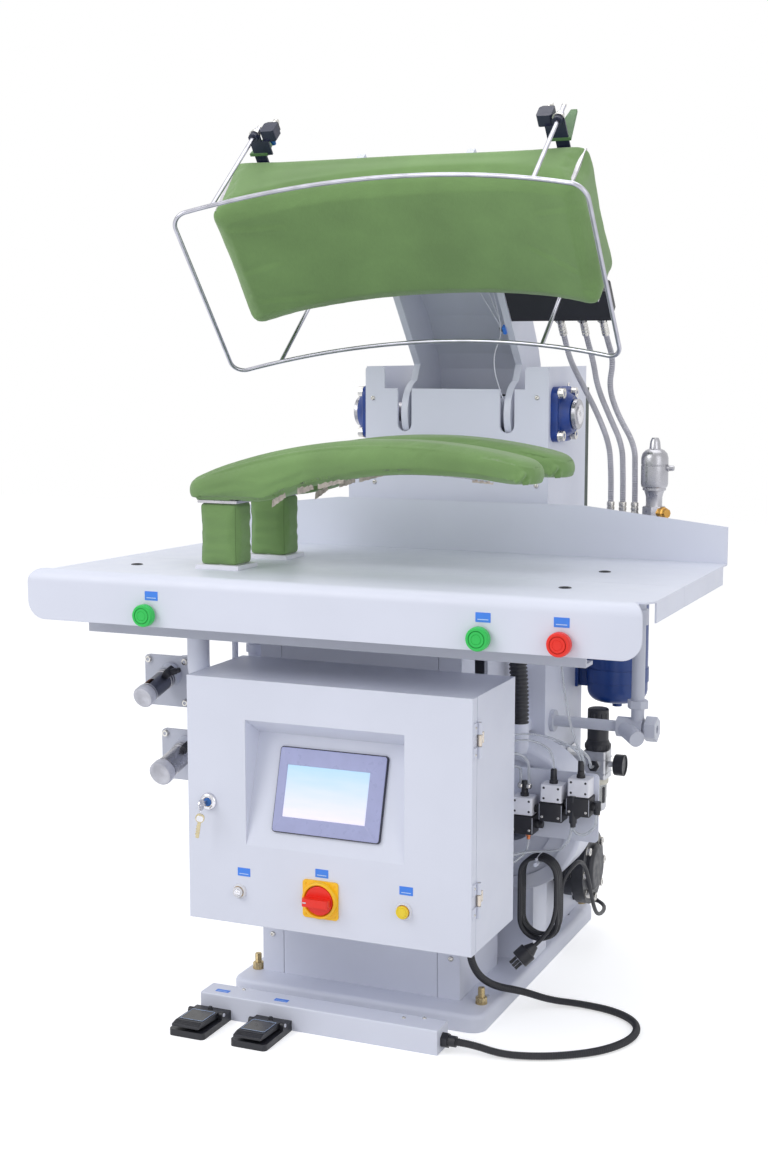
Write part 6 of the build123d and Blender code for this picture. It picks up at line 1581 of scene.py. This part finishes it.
def make_cord_fittings():
    """Gland and tapered strain relief at the mains exit, the coil's tie, and the plug's pale face."""
    start = mm(227, 290, 66)
    lathes("mains_gland", black, [
        ([(0, 13.4), (7.6, 13.4), (8.6, 12.2)], start, right_way, 6),
        ([(8, 10.6), (10, 10.6), (13, 8.4), (13.4, 4.2)], start, right_way, 24),
    ], smooth=25.0)
    power_line = followed(power_points)
    run, line = 0.0, [power_line[0]]
    for before, after in zip(power_line, power_line[1:]):
        run += (after - before).length
        line.append(after)
        if run > 0.042:
            break
    line = even(line, 0.0014)
    radii = [
        0.0076 - 0.0030 * i / (len(line) - 1) - (0.0007 if (i // 2) % 2 and 4 < i < len(line) - 3 else 0)
        for i in range(len(line))
    ]
    Piece("mains_strain_relief").tube(line, radii, 24).done(rubber, smooth=60.0)
    tie_round("coil_tie", [mm(272, y, 257.0) for y in (-66, -84, -100)], right_way, 0.0052)
    plug_way = Vector((-23, -16, -24)).normalized()
    seat = mm(278, -128, 96) + plug_way * 0.041
    lathe("plug_face", white_cable, [(-0.3, 16.4), (0.4, 16.2), (0.5, 0)], seat, plug_way, 36)


for make in (
    make_grommets, make_levelling_feet, make_panel, make_main_switch, make_buttons, make_lock,
    make_pedal_fittings, make_actuator_fittings, make_solenoids, make_air_tubes, make_service_unit,
    make_trap_bolts, make_bearing_fittings, make_guard_fittings, make_hose_fittings, make_arm_leads,
    make_angle_valve, make_cord_fittings,
):
    make()


# Camera, stage and light
lens = bpy.data.cameras.new("camera")
lens.lens = 53.4
lens.sensor_width = 36.0
lens.clip_end = 50.0
camera = linked("camera", lens)
camera.location = (1.249, -3.110, 1.213)
camera.rotation_euler = (radians(90 - 7.44), 0.0, radians(23.29))
scene.camera = camera
scene.view_settings.view_transform = "Standard"


seen_rays = ("Is Camera Ray", "Is Glossy Ray", "Is Transmission Ray")


def most_of(tree, names):
    """One for rays of the named kinds, else zero."""
    path = tree.nodes.new("ShaderNodeLightPath")
    total = path.outputs[names[0]]
    for name in names[1:]:
        most = tree.nodes.new("ShaderNodeMath")
        most.operation = "MAXIMUM"
        tree.links.new(total, most.inputs[0])
        tree.links.new(path.outputs[name], most.inputs[1])
        total = most.outputs[0]
    return total


def mixed(tree, share, first, second):
    mix = tree.nodes.new("ShaderNodeMixShader")
    tree.links.new(share, mix.inputs[0])
    tree.links.new(first.outputs[0], mix.inputs[1])
    tree.links.new(second.outputs[0], mix.inputs[2])
    return mix


def make_world():
    """White to look at and in mirrors, an even soft light on the object."""
    world = bpy.data.worlds.new("studio")
    scene.world = world
    world.use_nodes = True
    tree = world.node_tree
    lit, white = tree.nodes["Background"], tree.nodes.new("ShaderNodeBackground")
    lit.inputs["Color"].default_value = (0.93, 0.95, 1.0, 1.0)
    lit.inputs["Strength"].default_value = 0.62
    white.inputs["Color"].default_value = (1.0, 1.0, 1.0, 1.0)
    seen = mixed(tree, most_of(tree, seen_rays), lit, white)
    tree.links.new(seen.outputs[0], tree.nodes["World Output"].inputs["Surface"])


def make_floor():
    """Pale floor that keeps the shadow and runs into the white of the world."""
    mesh = bpy.data.meshes.new("floor")
    half = 9.0
    corners = [(-half, -half, 0), (half, -half, 0), (half, half, 0), (-half, half, 0)]
    mesh.from_pydata(corners, [], [(0, 1, 2, 3)])
    floor = linked("floor", mesh)
    finish = Finish("floor", (0.8, 0.8, 0.8, 1.0), 0.9)
    finish.tint(finish.grain(2.0), 0.99, 1.0)
    tree = finish.material.node_tree
    glow, none = tree.nodes.new("ShaderNodeEmission"), tree.nodes.new("ShaderNodeEmission")
    glow.inputs["Strength"].default_value = 0.52
    none.inputs["Strength"].default_value = 0.0
    seen = mixed(tree, most_of(tree, seen_rays), none, glow)
    total = tree.nodes.new("ShaderNodeAddShader")
    tree.links.new(finish.shader.outputs[0], total.inputs[0])
    tree.links.new(seen.outputs[0], total.inputs[1])
    tree.links.new(total.outputs[0], tree.nodes["Material Output"].inputs["Surface"])
    mesh.materials.append(finish.material)


def soft_box(name, place, target, size, power):
    data = bpy.data.lights.new(name, "AREA")
    data.shape = "RECTANGLE"
    data.size, data.size_y = size
    data.energy = power
    lamp = linked(name, data)
    lamp.location = place
    lamp.rotation_euler = (Vector(target) - Vector(place)).to_track_quat("-Z", "Y").to_euler()


make_world()
make_floor()
soft_box("key", (-2.2, -3.0, 3.0), (0, -0.1, 0.8), (2.4, 2.4), 62.0)
soft_box("fill", (3.0, -2.2, 1.8), (0, -0.1, 0.7), (2.0, 2.4), 20.0)
soft_box("top", (0.2, 0.4, 3.6), (0, 0, 0.9), (2.6, 2.6), 34.0)
